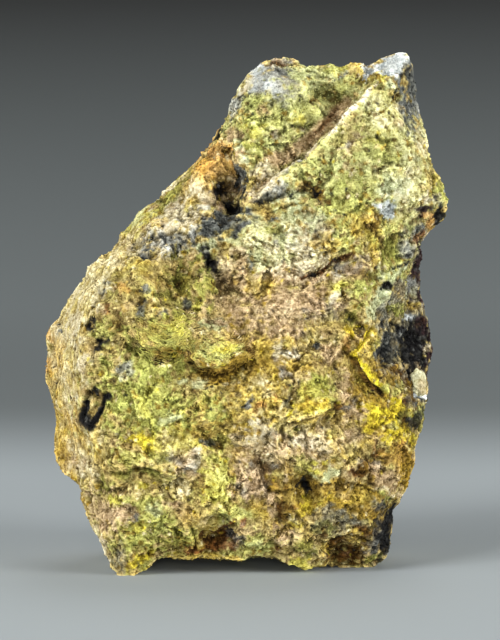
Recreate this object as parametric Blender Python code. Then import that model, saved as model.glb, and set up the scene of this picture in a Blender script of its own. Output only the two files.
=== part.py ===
"""Schoepite pseudomorph: one chunk of broken host rock under a crust of yellow uranium oxide.

The stone is a single solid. Its front is drawn as a relief: the outline and every ridge, ledge and hollow
are lists of points (across, up, depth) in millimetres, as an eye in front of the stone sees them. Across runs
from the drawing's middle, up from the lowest toe, and depth runs away from the eye. The sides taper to a
smaller back outline, chips are struck off the back, and the feet are cut flat where the stone stands.
Row frame: +X right, +Y to the back, +Z up, origin on the ground under the middle of the stone, in metres.
"""

import math

import bmesh
import bpy
from mathutils import Vector, noise
from mathutils.geometry import delaunay_2d_cdt

MM = 0.001

# The eye that the drawing is made for.
EYE_DISTANCE = 450.0
EYE_PITCH = math.radians(6.0)
DRAWING_MIDDLE = (0.0, 25.8)
TOE_DEPTH = 6.0  # depth of the left toe, which is the drawing's lowest point
FOOT_WEAR = 0.25  # how much of the toe the flat cut under the feet takes off

# Sizes that steer the surface.
INSIDE_OF_RIM = 1  # the triangulation keeps what lies inside the rim
SAME_POINT = 1e-4  # points of the drawing closer than this count as one
VOXEL = 0.36  # fuses the shell into one even skin
FINAL_TRIANGLES = 8600
WAVINESS = ((6.5, 0.42), (2.4, 0.22))  # wavelength and depth of the natural unevenness
BACK_ROUGHNESS = 1.2  # how rough the broken sides and back are beside the crust
BREAK_STRETCH = 1.4  # how much longer than the soft waves the blocky breaks are
BREAK_PLACE = Vector((7.0, 3.0, 1.0))  # where in the noise the breaks are taken from
BACK_WAVES = 0.6  # share of the soft waves in the unevenness of the back
BACK_BREAKS = 0.5  # share of the blocky breaks there
FRONT_TURN = 1.6  # how fast a surface that turns away from the front takes on the back's unevenness

# Rim of the front, clockwise from the left shoulder of the top hump: (across, up, depth).
OUTLINE = (
    (-1.9, 48.2, 10.6), (-0.9, 49.6, 10.2), (0.0, 50.8, 9.9), (1.2, 52.0, 9.8), (2.6, 52.6, 9.9),
    (4.2, 52.6, 10.0), (5.1, 51.7, 10.0), (6.0, 51.2, 10.0), (7.0, 51.6, 10.0), (8.0, 51.8, 10.0),
    (9.2, 51.4, 10.0), (10.8, 51.3, 10.0), (12.2, 51.3, 10.0), (12.7, 52.0, 10.6), (13.6, 52.4, 10.8),
    (14.8, 52.9, 11.0), (15.8, 53.6, 11.2), (16.7, 53.7, 11.4), (17.1, 52.0, 12.4), (18.0, 50.7, 13.0),
    (18.4, 49.2, 13.2), (18.0, 47.6, 13.0), (17.4, 46.2, 12.4), (17.2, 44.8, 11.2), (17.9, 43.7, 10.2),
    (18.1, 42.6, 9.6), (18.2, 41.4, 9.4), (19.2, 40.3, 10.0), (19.7, 39.2, 10.4), (19.9, 37.8, 10.8),
    (19.4, 36.2, 11.6), (18.6, 35.2, 12.2), (17.8, 34.3, 12.2), (17.0, 33.5, 12.0), (17.3, 32.0, 12.6),
    (17.0, 30.4, 13.0), (16.9, 28.9, 13.2), (17.3, 27.6, 13.4), (17.8, 26.0, 13.8), (18.1, 24.0, 14.0),
    (18.2, 22.2, 13.8),
    (17.9, 20.7, 13.2), (17.8, 19.4, 12.4), (17.4, 17.8, 11.4), (17.3, 16.1, 10.8), (16.9, 14.6, 10.4),
    (16.5, 13.0, 10.2), (16.3, 11.6, 10.2), (16.0, 10.3, 10.4), (15.6, 9.0, 10.8), (15.3, 7.6, 11.2),
    (14.4, 6.9, 11.2), (14.1, 5.6, 11.4), (13.9, 4.3, 11.8), (13.7, 2.9, 12.2), (13.3, 1.4, 12.6),
    (11.9, 0.9, 12.4), (10.5, 1.0, 11.8), (9.2, 0.9, 11.4), (8.1, 1.2, 10.4), (6.6, 1.25, 8.6),
    (5.6, 0.9, 7.8), (4.6, 1.2, 7.4), (3.4, 1.8, 7.2), (2.2, 2.3, 7.2), (1.0, 2.2, 7.2),
    (0.0, 2.0, 7.0), (-0.9, 1.5, 6.6), (-2.4, 1.7, 6.6), (-3.8, 2.0, 6.8), (-5.2, 2.1, 7.0),
    (-6.6, 2.1, 7.2), (-8.0, 2.0, 7.2), (-9.2, 2.2, 7.0), (-9.9, 1.4, 6.6), (-10.9, 0.6, 6.4),
    (-11.9, 0.2, 6.2), (-12.7, 0.0, 6.0), (-13.5, 0.35, 6.4), (-14.2, 1.2, 7.0), (-14.8, 2.4, 7.4),
    (-15.4, 3.6, 7.6), (-15.8, 5.0, 7.8), (-16.5, 6.3, 8.0), (-17.0, 7.6, 8.0), (-17.1, 8.9, 8.0),
    (-17.9, 9.5, 10.0), (-18.8, 10.4, 11.8), (-19.2, 11.8, 12.8), (-19.5, 13.2, 13.4), (-19.5, 14.6, 13.8),
    (-19.4, 15.9, 14.0), (-19.7, 17.4, 14.2), (-20.1, 19.0, 14.4), (-20.5, 20.4, 14.6), (-20.5, 21.8, 14.8),
    (-20.3, 23.0, 14.8), (-20.6, 24.3, 14.8), (-20.1, 25.4, 14.6), (-19.0, 26.1, 14.4), (-18.3, 27.6, 14.2),
    (-17.5, 28.9, 14.0), (-16.6, 30.1, 13.8), (-16.2, 31.2, 13.6), (-15.4, 32.0, 13.4), (-14.2, 32.6, 13.0),
    (-13.1, 33.4, 12.6), (-12.6, 34.6, 12.4), (-11.4, 36.0, 12.4), (-10.2, 37.1, 12.4), (-9.1, 37.9, 12.6),
    (-8.2, 39.1, 12.8), (-7.2, 40.0, 12.4), (-6.3, 40.8, 11.8), (-5.4, 42.2, 11.4), (-4.2, 43.2, 11.2),
    (-3.4, 44.4, 11.2), (-2.7, 45.5, 11.2), (-2.2, 46.9, 11.0),
)

# Lines that stay sharp: edges of facets, crests, and the foot and lip of each ledge.
CREASES = {
    "left flank edge": (
        (-12.9, 32.6, 6.4), (-14.6, 30.9, 5.0), (-15.8, 28.6, 4.4), (-16.6, 26.0, 4.2), (-16.8, 23.0, 4.0),
        (-16.8, 20.2, 4.3), (-17.0, 17.6, 5.0), (-16.6, 15.4, 5.0), (-15.4, 13.6, 4.2), (-15.2, 11.8, 4.4),
        (-15.9, 10.1, 5.6),
    ),
    "step crest": (
        (13.2, 50.2, 7.2), (11.3, 48.2, 6.4), (8.8, 45.2, 5.7), (6.6, 42.8, 5.2), (4.6, 41.0, 4.8),
        (2.7, 39.5, 4.4), (0.9, 38.3, 4.4),
    ),
    "step foot": (
        (11.5, 49.4, 9.2), (10.3, 47.9, 9.6), (8.1, 45.2, 8.8), (5.9, 42.8, 8.2), (4.1, 41.4, 7.4),
        (2.3, 40.1, 6.9), (0.7, 39.1, 6.4),
    ),
    "upper block edge": (
        (0.0, 49.6, 8.8), (-0.9, 47.6, 8.2), (-1.5, 45.2, 7.9), (-1.6, 43.2, 7.5), (-0.7, 41.4, 6.9),
        (0.1, 40.2, 6.5), (-0.3, 38.7, 5.5), (-0.7, 37.2, 4.8), (-1.2, 35.8, 4.3),
    ),
    "recess foot": (
        (-2.3, 43.0, 9.6), (-1.5, 41.2, 10.2), (-1.0, 39.8, 10.4), (-1.4, 38.4, 10.2), (-1.7, 37.2, 9.2),
        (-2.1, 36.2, 7.4),
    ),
    "orange lump edge": (
        (-2.9, 43.4, 8.6), (-3.1, 42.0, 7.4), (-3.8, 40.4, 7.2), (-4.0, 38.8, 7.0), (-3.6, 37.4, 6.6),
    ),
    "grey block front": (
        (12.4, 51.0, 9.6), (13.4, 50.5, 9.2), (15.0, 50.5, 9.0), (15.9, 51.2, 9.4), (16.2, 52.2, 10.4),
    ),
    "grey block side": ((15.4, 50.0, 9.0), (15.4, 48.4, 8.8), (15.6, 46.8, 8.6), (16.5, 45.2, 9.2)),
    "right shoulder": (
        (12.2, 36.2, 5.0), (13.1, 34.8, 5.8), (13.3, 33.0, 6.2), (13.2, 31.2, 6.0), (12.9, 29.6, 5.8),
    ),
    "shoulder foot": ((13.2, 36.0, 6.6), (13.9, 34.4, 7.2), (14.0, 32.8, 7.4), (13.9, 31.4, 7.2)),
    "dark side edge": (
        (16.5, 33.0, 9.6), (15.5, 31.8, 8.4), (14.3, 30.4, 7.0), (13.5, 28.4, 6.2), (12.7, 26.6, 5.8),
    ),
    "flake crest": (
        (12.0, 25.2, 5.0), (11.2, 23.6, 3.7), (10.6, 22.0, 3.0), (11.4, 20.6, 3.5), (12.3, 19.2, 4.2),
    ),
    "flake foot": (
        (11.0, 24.7, 5.2), (10.4, 23.4, 4.6), (10.0, 21.9, 4.3), (10.8, 20.1, 4.8), (11.9, 18.7, 5.3),
    ),
    "lip edge": (
        (-6.2, 22.1, 1.5), (-5.2, 21.5, 0.7), (-3.9, 21.1, 0.1), (-2.6, 21.2, 0.2), (-1.2, 21.8, 0.7),
        (0.4, 22.2, 1.6),
    ),
    "lip hollow": ((-5.6, 20.9, 2.8), (-4.0, 20.4, 3.1), (-2.2, 20.6, 3.1), (-0.6, 21.3, 2.8)),
    "upper fold": (
        (-11.4, 24.2, 1.9), (-10.0, 23.5, 1.2), (-8.4, 23.1, 0.9), (-6.8, 23.9, 1.0), (-5.6, 24.8, 1.6),
    ),
    "upper fold foot": ((-11.6, 23.0, 2.9), (-10.0, 22.3, 2.7), (-8.2, 21.9, 2.5), (-6.9, 22.6, 2.4)),
    "lower ledge": ((-11.4, 11.4, 2.1), (-9.8, 11.0, 1.8), (-8.3, 10.3, 1.7), (-7.2, 10.6, 2.1)),
    "lower ledge foot": ((-10.8, 10.3, 3.2), (-9.2, 9.9, 3.3), (-7.7, 9.3, 3.3)),
    "middle ledge": (
        (2.4, 15.2, 1.8), (4.2, 15.7, 1.5), (6.2, 16.1, 1.6), (7.6, 16.9, 1.8), (8.6, 17.8, 2.3),
    ),
    "middle ledge foot": ((3.4, 14.5, 2.6), (5.4, 14.9, 2.9), (7.2, 15.7, 3.0), (8.7, 16.8, 3.2)),
    "brown groove": (
        (5.0, 29.9, 4.4), (6.4, 30.3, 5.2), (8.0, 31.3, 5.5), (9.4, 32.0, 5.3), (10.6, 32.2, 5.0),
    ),
    "cavern roof": ((7.4, 3.2, 6.0), (8.6, 3.9, 5.6), (10.2, 3.9, 5.8), (11.6, 4.2, 6.2)),
    "foot hollow rim": (
        (-5.6, 4.9, 3.4), (-4.4, 6.1, 2.6), (-2.8, 6.5, 2.5), (-1.2, 5.9, 2.9), (-0.4, 4.6, 3.7),
    ),
    "corner blade": ((13.5, 4.9, 8.0), (12.5, 3.4, 7.4), (11.5, 2.4, 7.8), (11.2, 1.8, 8.8)),
}

# Single heights between the creases: crowns of bumps and floors of hollows.
SPOTS = (
    # left flank
    (-18.4, 25.0, 9.2), (-18.9, 21.5, 9.4), (-18.8, 17.8, 9.8), (-18.0, 14.4, 9.4), (-17.4, 11.6, 9.2),
    (-17.2, 28.0, 9.2), (-15.0, 31.9, 9.4),
    # dome on the left and the valley beside it
    (-14.0, 27.6, 2.6), (-12.2, 29.6, 2.2), (-10.0, 29.8, 2.2), (-9.4, 27.2, 1.6), (-12.4, 25.8, 1.8),
    (-14.6, 24.0, 2.7), (-14.2, 21.2, 2.7), (-11.6, 31.6, 3.4), (-9.2, 31.8, 3.4), (-7.3, 31.0, 5.3),
    (-7.2, 29.2, 5.2), (-6.5, 27.4, 3.9), (-5.0, 29.4, 3.0), (-4.2, 31.8, 3.9), (-2.6, 29.0, 4.9),
    (-1.0, 31.2, 3.4), (-7.6, 25.2, 1.5), (-4.4, 26.4, 2.9), (-4.0, 24.0, 1.2), (-2.4, 23.0, 0.4),
    (-0.2, 23.6, 1.9), (-1.6, 26.6, 3.2),
    # lower left face and toe
    (-8.0, 19.4, 2.3), (-4.0, 18.8, 1.9), (-12.0, 18.8, 2.3), (-14.4, 18.6, 3.6), (-13.8, 14.6, 2.8),
    (-10.2, 16.2, 1.7), (-7.0, 16.0, 1.7), (-6.6, 14.6, 2.3), (-10.0, 13.2, 1.3), (-12.8, 12.0, 2.3),
    (-13.8, 8.6, 3.8), (-12.0, 8.2, 3.1), (-7.0, 7.8, 2.6), (-9.2, 5.6, 3.2), (-13.2, 5.8, 3.9),
    (-15.2, 8.0, 5.8), (-14.6, 4.2, 5.4), (-12.2, 3.0, 4.6), (-11.4, 1.4, 5.4), (-9.6, 3.4, 4.9),
    (-7.4, 3.6, 4.9), (-7.0, 5.6, 3.6), (-13.2, 1.6, 5.2),
    # hollow at the foot, and the middle of the lower face
    (-4.2, 4.4, 6.6), (-2.2, 4.9, 6.4), (-0.8, 7.4, 2.9), (-5.4, 3.4, 5.6), (-3.4, 3.0, 6.6),
    (-1.4, 3.4, 6.0), (0.2, 3.2, 4.6), (-3.4, 10.0, 1.7), (-2.4, 8.2, 2.0), (-5.4, 9.6, 2.5),
    (-5.0, 13.2, 1.8), (-2.8, 13.8, 3.3), (-2.2, 17.0, 1.8), (0.6, 15.6, 1.5), (0.9, 12.2, 3.1),
    (-0.4, 9.2, 2.5), (1.7, 8.6, 3.8), (2.9, 6.4, 3.9), (3.4, 12.6, 1.4), (3.8, 9.8, 2.7),
    (2.4, 3.6, 5.0), (0.8, 5.0, 3.9), (4.4, 3.0, 4.8), (5.8, 2.4, 5.6),
    # right half of the lower face
    (7.4, 14.0, 1.9), (9.2, 12.2, 2.7), (6.0, 11.4, 3.0), (5.7, 9.2, 4.6), (7.6, 8.6, 3.5),
    (4.2, 7.0, 3.3), (6.2, 5.6, 3.9), (9.0, 6.6, 4.0), (11.4, 6.4, 5.2), (10.2, 9.6, 3.6),
    (12.0, 11.0, 4.2), (12.2, 13.2, 4.8), (14.2, 12.6, 6.0), (15.2, 9.8, 7.9), (13.4, 8.6, 5.9),
    (13.3, 6.7, 7.4), (11.2, 16.4, 3.8), (13.0, 16.8, 4.4), (14.6, 15.0, 5.8), (15.8, 16.6, 7.6),
    (14.2, 18.4, 5.6), (10.0, 14.8, 3.6), (8.8, 2.9, 8.8), (10.4, 2.9, 9.1),
    (9.2, 1.7, 9.6), (7.2, 2.2, 6.8), (13.1, 2.9, 10.2), (12.3, 1.7, 11.2),
    # middle band
    (1.8, 18.8, 1.3), (5.0, 19.4, 1.5), (7.4, 19.6, 2.2), (2.2, 22.0, 2.3), (4.6, 22.4, 2.5),
    (6.6, 23.4, 3.5), (8.6, 22.2, 3.1), (3.0, 25.4, 2.6), (0.6, 27.6, 3.3), (4.0, 27.8, 2.9),
    (7.6, 26.4, 3.4), (9.4, 24.4, 3.6), (10.6, 27.0, 4.4), (10.2, 25.6, 4.8), (3.2, 29.4, 3.4),
    (8.8, 29.8, 4.0), (11.6, 30.8, 4.6), (7.2, 32.6, 3.8),
    # ochre flake and the dark right side
    (12.6, 22.6, 5.2), (13.2, 20.4, 5.4), (14.2, 22.8, 8.4), (13.9, 24.6, 8.0), (15.0, 26.6, 9.4),
    (15.4, 29.2, 9.8), (16.4, 24.4, 11.4), (16.6, 21.6, 11.2), (15.2, 20.0, 8.4), (16.4, 19.2, 9.8),
    (16.4, 31.2, 11.0),
    # sage bump and the big plate
    (0.8, 34.6, 2.9), (2.6, 33.2, 3.3), (0.6, 31.4, 3.7), (1.4, 36.6, 4.3),
    (4.2, 35.4, 3.8), (4.6, 37.6, 4.5), (6.2, 38.7, 6.3), (7.2, 37.2, 4.5), (9.6, 36.4, 4.3),
    (8.2, 40.6, 4.7), (11.2, 39.4, 4.6), (12.0, 43.4, 5.3), (9.8, 43.6, 5.1), (10.8, 33.8, 4.8),
    (14.0, 40.6, 5.2), (12.6, 47.0, 6.3), (14.2, 45.0, 6.0), (15.9, 43.0, 6.4), (16.4, 40.2, 6.8),
    (14.9, 38.2, 6.0), (14.9, 36.4, 6.6), (16.6, 37.6, 7.2), (17.8, 39.4, 7.6), (18.6, 38.2, 8.6),
    (18.0, 36.4, 9.6), (16.9, 35.2, 9.0), (15.6, 34.0, 7.6), (15.4, 32.9, 7.6), (14.3, 49.2, 7.4),
    (14.6, 47.8, 8.8), (16.4, 48.6, 11.0), (16.3, 46.8, 10.6),
    # upper left block, its channel and pit
    (4.4, 46.6, 7.0), (1.4, 46.4, 6.8), (2.2, 49.0, 7.2), (5.0, 50.0, 7.8), (8.8, 50.2, 8.2),
    (0.0, 43.8, 6.7), (1.0, 42.2, 6.5), (3.4, 44.2, 7.4), (7.6, 48.3, 10.4), (8.5, 47.6, 10.2),
    (6.3, 47.2, 7.6), (8.2, 49.5, 8.2), (2.4, 51.4, 9.0), (6.0, 45.4, 7.8),
    # recess, orange lump, grey shelf and cream slope
    (-2.2, 40.2, 10.4), (-2.6, 38.4, 10.2), (-4.8, 41.4, 7.2), (-5.4, 39.4, 6.8),
    (-4.9, 37.8, 6.4), (-4.4, 36.4, 5.8), (-2.9, 35.2, 4.8), (-5.8, 35.0, 4.8), (-7.6, 36.6, 6.8),
    (-9.6, 35.6, 7.4), (-11.0, 34.4, 7.4), (-7.6, 34.0, 4.8), (-10.6, 33.0, 5.2), (-3.4, 33.4, 4.4),
    (-8.2, 38.0, 9.8), (-6.6, 39.6, 9.0),
)

# Corners of the smaller outline that the sides run back to, clockwise from the top.
BACK_OUTLINE = (
    (1.5, 48.2, 16.4), (8.0, 49.4, 17.2), (14.8, 49.4, 16.8), (16.4, 41.0, 19.4), (16.2, 33.0, 21.0),
    (16.4, 25.0, 22.4), (15.4, 16.0, 23.0), (12.2, 8.0, 23.8), (11.0, 2.4, 24.0), (3.0, 2.6, 25.4),
    (-6.0, 2.7, 25.6), (-12.2, 2.5, 23.4), (-14.8, 8.0, 23.6), (-17.8, 15.0, 22.8), (-18.6, 23.0, 22.0),
    (-15.4, 29.8, 21.4), (-9.2, 36.6, 20.2), (-3.8, 42.8, 18.4),
)
BACK_SPOTS = (
    (7.0, 43.0, 19.8), (0.0, 40.0, 20.8), (9.0, 34.0, 23.4), (-6.0, 31.0, 24.2), (3.0, 29.0, 26.6),
    (-11.0, 22.0, 25.0), (8.0, 22.0, 26.8), (-3.0, 19.0, 27.8), (-10.0, 11.0, 26.2), (4.0, 11.0, 27.8),
    (10.0, 10.0, 26.2), (-3.0, 5.0, 27.0),
)
BELT_STEPS = (0.16, 0.42, 0.72)  # where the rings of the sides lie between the rim and the back
BELT_BULGE = 0.015

# Breaks struck off the sides and back: a point on the break and its outward direction (across, up, back).
CHIPS = (
    ((5.0, 26.0, 24.6), (0.52, 0.12, 0.85)),
    ((-6.0, 24.0, 24.4), (-0.42, 0.20, 0.88)),
    ((6.0, 41.6, 19.6), (0.06, 0.46, 0.88)),
    ((-3.6, 37.9, 22.3), (-0.36, 0.58, 0.73)),
    ((-15.2, 14.0, 21.0), (-0.80, -0.16, 0.58)),
    ((-4.0, 8.0, 25.4), (-0.16, -0.24, 0.96)),
    ((12.0, 9.0, 22.6), (0.66, -0.26, 0.70)),
    ((17.4, 30.0, 19.5), (0.93, 0.02, 0.36)),
    ((17.2, 45.0, 17.0), (0.84, 0.18, 0.52)),
    ((-12.3, 33.1, 17.8), (-0.70, 0.56, 0.44)),
    ((-18.6, 21.0, 20.0), (-0.88, 0.05, 0.47)),
)


def row_point(across, up, depth):
    """The point in millimetres that the eye sees at (across, up) and that lies depth behind the drawing."""
    spread = 1.0 + depth / EYE_DISTANCE
    right = (across - DRAWING_MIDDLE[0]) * spread
    rise = (up - DRAWING_MIDDLE[1]) * spread
    back = rise * math.sin(EYE_PITCH) + depth * math.cos(EYE_PITCH)
    return Vector((right, back, rise * math.cos(EYE_PITCH) - depth * math.sin(EYE_PITCH)))


GROUND = row_point(0.0, 0.0, TOE_DEPTH).z + FOOT_WEAR  # height of the ground under the drawing's middle


def relief_triangles(outline, creases, spots):
    """All the points of one side, and the triangles between them as triples of point numbers."""
    points = list(outline)
    edges = []
    for line in creases:
        first = len(points)
        points.extend(line)
        edges.extend((first + k, first + k + 1) for k in range(len(line) - 1))
    points.extend(spots)
    flat = [Vector(point[:2]) for point in points]
    rim = [list(range(len(outline)))]
    _, _, triangles, sources, _, _ = delaunay_2d_cdt(flat, edges, rim, INSIDE_OF_RIM, SAME_POINT)
    if any(not source for source in sources):
        raise ValueError("two creases cross: move their points apart")
    return [points[source[0]] for source in sources], triangles


def add_relief(bm, outline, creases, spots):
    """Adds one side of the stone to bm and returns its rim in outline order."""
    points, triangles = relief_triangles(outline, creases, spots)
    verts = [bm.verts.new(row_point(*point)) for point in points]
    for corners in triangles:
        bm.faces.new([verts[k] for k in corners])
    by_place = {tuple(point): vert for point, vert in zip(points, verts)}
    return [by_place[tuple(point)] for point in outline]


def back_corner(angle):
    """The back outline's (across, up, depth) in the direction angle, seen from the drawing's middle."""
    middle = Vector(DRAWING_MIDDLE)
    corners = []
    for across, up, depth in BACK_OUTLINE:
        arm = Vector((across, up)) - middle
        corners.append((math.atan2(arm.y, arm.x), arm.length, depth))
    corners.sort()
    last_angle, *last_corner = corners[-1]
    first_angle, *first_corner = corners[0]
    around = [(last_angle - math.tau, *last_corner), *corners, (first_angle + math.tau, *first_corner)]
    for (low, near, front), (high, far, rear) in zip(around, around[1:]):
        if low <= angle <= high:
            share = (angle - low) / (high - low)
            reach = near + (far - near) * share
            return (
                middle.x + reach * math.cos(angle),
                middle.y + reach * math.sin(angle),
                front + (rear - front) * share,
            )
    raise ValueError("an angle lies outside the back outline")


def belt_ring(share):
    """A ring of the sides at this share of the way from the rim to the back outline."""
    ring = []
    for across, up, depth in OUTLINE:
        arm = Vector((across, up)) - Vector(DRAWING_MIDDLE)
        goal = back_corner(math.atan2(arm.y, arm.x))
        grow = 1.0 + BELT_BULGE * math.sin(math.pi * share)
        ring.append((
            DRAWING_MIDDLE[0] + (across + (goal[0] - across) * share - DRAWING_MIDDLE[0]) * grow,
            up + (goal[1] - up) * share,
            depth + (goal[2] - depth) * share,
        ))
    return ring


def add_belt(bm, rim, back_rim):
    """Closes the sides with rings of faces between the front's rim and the back's."""
    rings = [rim]
    for share in BELT_STEPS:
        rings.append([bm.verts.new(row_point(*point)) for point in belt_ring(share)])
    rings.append(back_rim)
    count = len(rim)
    for near, far in zip(rings, rings[1:]):
        for k in range(count):
            bm.faces.new((near[k], near[(k + 1) % count], far[(k + 1) % count], far[k]))


def strike_chips(bm):
    """Cuts each chip's plane through the stone, throws the outer part away and caps the break."""
    for point, (across, up, back) in CHIPS:
        cut = bmesh.ops.bisect_plane(
            bm,
            geom=bm.verts[:] + bm.edges[:] + bm.faces[:],
            plane_co=row_point(*point),
            plane_no=Vector((across, back, up)),
            clear_outer=True,
        )
        cap_cut(bm, cut)


def cap_cut(bm, cut):
    """Fills the open loops that a bisection left."""
    cut_edges = [item for item in cut["geom_cut"] if isinstance(item, bmesh.types.BMEdge)]
    edges = [edge for edge in cut_edges if edge.is_boundary]
    bmesh.ops.triangle_fill(bm, edges=edges, use_beauty=True, use_dissolve=False)
    bmesh.ops.recalc_face_normals(bm, faces=bm.faces[:])


def stone_shell():
    """The closed stone with its drawn relief, before its skin is roughened."""
    bm = bmesh.new()
    rim = add_relief(bm, OUTLINE, CREASES.values(), SPOTS)
    back_rim = add_relief(bm, belt_ring(1.0), (), BACK_SPOTS)
    add_belt(bm, rim, back_rim)
    bmesh.ops.recalc_face_normals(bm, faces=bm.faces[:])
    strike_chips(bm)
    return bm


def evaluated(mesh, add_modifiers):
    """A new mesh: this one as it comes out of the modifiers that add_modifiers puts on its object."""
    scratch = bpy.data.objects.new("scratch", mesh)
    bpy.context.scene.collection.objects.link(scratch)
    add_modifiers(scratch)
    graph = bpy.context.evaluated_depsgraph_get()
    made = bpy.data.meshes.new_from_object(scratch.evaluated_get(graph))
    bpy.data.objects.remove(scratch)
    return made


def fuse(obj):
    """Turns the shell into one even skin of small faces."""
    remesh = obj.modifiers.new("fused skin", "REMESH")
    remesh.mode = "VOXEL"
    remesh.voxel_size = VOXEL
    remesh.adaptivity = 0.0


def thin_out(obj):
    """Keeps the fewest triangles that still show every ledge."""
    triangulate = obj.modifiers.new("triangles", "TRIANGULATE")
    triangulate.quad_method = "SHORTEST_DIAGONAL"
    decimate = obj.modifiers.new("fewer faces", "DECIMATE")
    decimate.ratio = FINAL_TRIANGLES / (2.0 * len(obj.data.polygons))


def unevenness(place, front):
    """How far the skin stands out at place, in millimetres: soft waves in front, blocky breaks elsewhere."""
    height = 0.0
    for wavelength, depth in WAVINESS:
        here = place / wavelength
        waves = noise.noise(here)
        breaks = noise.noise(here / BREAK_STRETCH + BREAK_PLACE, noise_basis="VORONOI_F2F1")
        behind = BACK_ROUGHNESS * (BACK_WAVES * waves + BACK_BREAKS * breaks)
        height += depth * (front * waves + (1.0 - front) * behind)
    return height


def roughen(mesh):
    """Pushes each point along its normal by the natural unevenness."""
    normals = [vert.normal.copy() for vert in mesh.vertices]
    for vert, normal in zip(mesh.vertices, normals):
        front = min(1.0, max(0.0, 0.5 - FRONT_TURN * normal.y))
        vert.co += normal * unevenness(vert.co, front)


def cut_feet(bm):
    """Cuts the stone level where it stands, which leaves a flat on each foot."""
    cut = bmesh.ops.bisect_plane(
        bm,
        geom=bm.verts[:] + bm.edges[:] + bm.faces[:],
        plane_co=Vector((0.0, 0.0, GROUND)),
        plane_no=Vector((0.0, 0.0, -1.0)),
        clear_outer=True,
    )
    cap_cut(bm, cut)
    bmesh.ops.triangulate(bm, faces=bm.faces[:])


def centre_on_ground(bm):
    """Moves the stone so that the row frame's origin lies on the ground under the middle of its box."""
    low = Vector(min(vert.co[k] for vert in bm.verts) for k in range(3))
    high = Vector(max(vert.co[k] for vert in bm.verts) for k in range(3))
    middle = (low + high) / 2.0
    bmesh.ops.translate(bm, verts=bm.verts[:], vec=(-middle.x, -middle.y, -low.z))
    bmesh.ops.scale(bm, verts=bm.verts[:], vec=(MM, MM, MM))


def crust_material():
    """Earthy sulphur-yellow oxide crust, the colour that covers most of the stone."""
    material = bpy.data.materials.new("schoepite_crust")
    material.use_nodes = True
    principled = material.node_tree.nodes["Principled BSDF"]
    principled.inputs["Base Color"].default_value = (0.50, 0.42, 0.12, 1.0)
    principled.inputs["Roughness"].default_value = 0.85
    principled.inputs["Metallic"].default_value = 0.0
    return material


def build():
    """Makes the one node of the model."""
    for obj in list(bpy.data.objects):
        bpy.data.objects.remove(obj)
    shell = bpy.data.meshes.new("shell")
    bm = stone_shell()
    bm.to_mesh(shell)
    bm.free()
    skin = evaluated(shell, fuse)
    roughen(skin)
    thin = evaluated(skin, thin_out)
    bm = bmesh.new()
    bm.from_mesh(thin)
    cut_feet(bm)
    centre_on_ground(bm)
    mesh = bpy.data.meshes.new("specimen")
    bm.to_mesh(mesh)
    bm.free()
    specimen = bpy.data.objects.new("specimen", mesh)
    bpy.context.scene.collection.objects.link(specimen)
    specimen.data.materials.append(crust_material())


build()
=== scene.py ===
"""The visual model of a schoepite pseudomorph: host rock under a crumbly crust of yellow uranium oxide.

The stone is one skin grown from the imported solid. Its fine relief and its minerals are laid out in drawing
places: millimetres across and up, as an eye in front of the stone sees them, with depth running away from it.
"""

import itertools
import logging
import math
from collections.abc import Callable
from dataclasses import dataclass
from enum import Enum

import bmesh
import bpy
import numpy as np
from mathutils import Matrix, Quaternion, Vector
from mathutils.bvhtree import BVHTree


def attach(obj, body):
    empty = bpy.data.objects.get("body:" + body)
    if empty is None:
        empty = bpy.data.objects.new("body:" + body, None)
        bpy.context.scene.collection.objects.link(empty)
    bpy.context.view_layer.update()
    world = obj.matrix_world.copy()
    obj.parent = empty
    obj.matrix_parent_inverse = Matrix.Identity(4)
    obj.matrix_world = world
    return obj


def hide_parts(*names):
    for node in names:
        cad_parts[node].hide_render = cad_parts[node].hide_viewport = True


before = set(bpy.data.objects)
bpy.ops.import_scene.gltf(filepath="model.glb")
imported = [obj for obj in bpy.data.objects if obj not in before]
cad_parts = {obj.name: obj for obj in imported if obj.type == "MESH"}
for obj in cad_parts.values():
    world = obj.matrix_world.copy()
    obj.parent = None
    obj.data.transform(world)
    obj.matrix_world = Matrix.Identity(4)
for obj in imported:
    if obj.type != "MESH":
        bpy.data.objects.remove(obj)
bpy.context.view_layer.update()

LOG = logging.getLogger("specimen")
MM = 0.001
BODY = "root"
NODE = "specimen"
HASH_MASK = 0xFFFFFFFF
CELL_PRIMES = (73856093, 19349663, 83492791)
SEED_PRIME = 6972593
STIRRING_PRIMES = (739391927, 1274126177)
OCTAVE_SIZE = 0.48
OCTAVE_STRENGTH = 0.56
CHUNK_JITTER = 0.45
CORNERS = np.array(list(itertools.product((0, 1), repeat=3)))


@dataclass(frozen=True)
class Look:
    """How a mineral looks.

    Its grains vary between a dark and a light tone, given as sRGB hex values. Its gloss runs from 0 to 1,
    and its grip is how readily it covers the others in a mixture.
    """

    dark: str
    light: str
    gloss: float = 0.0
    grip: float = 0.0


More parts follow.
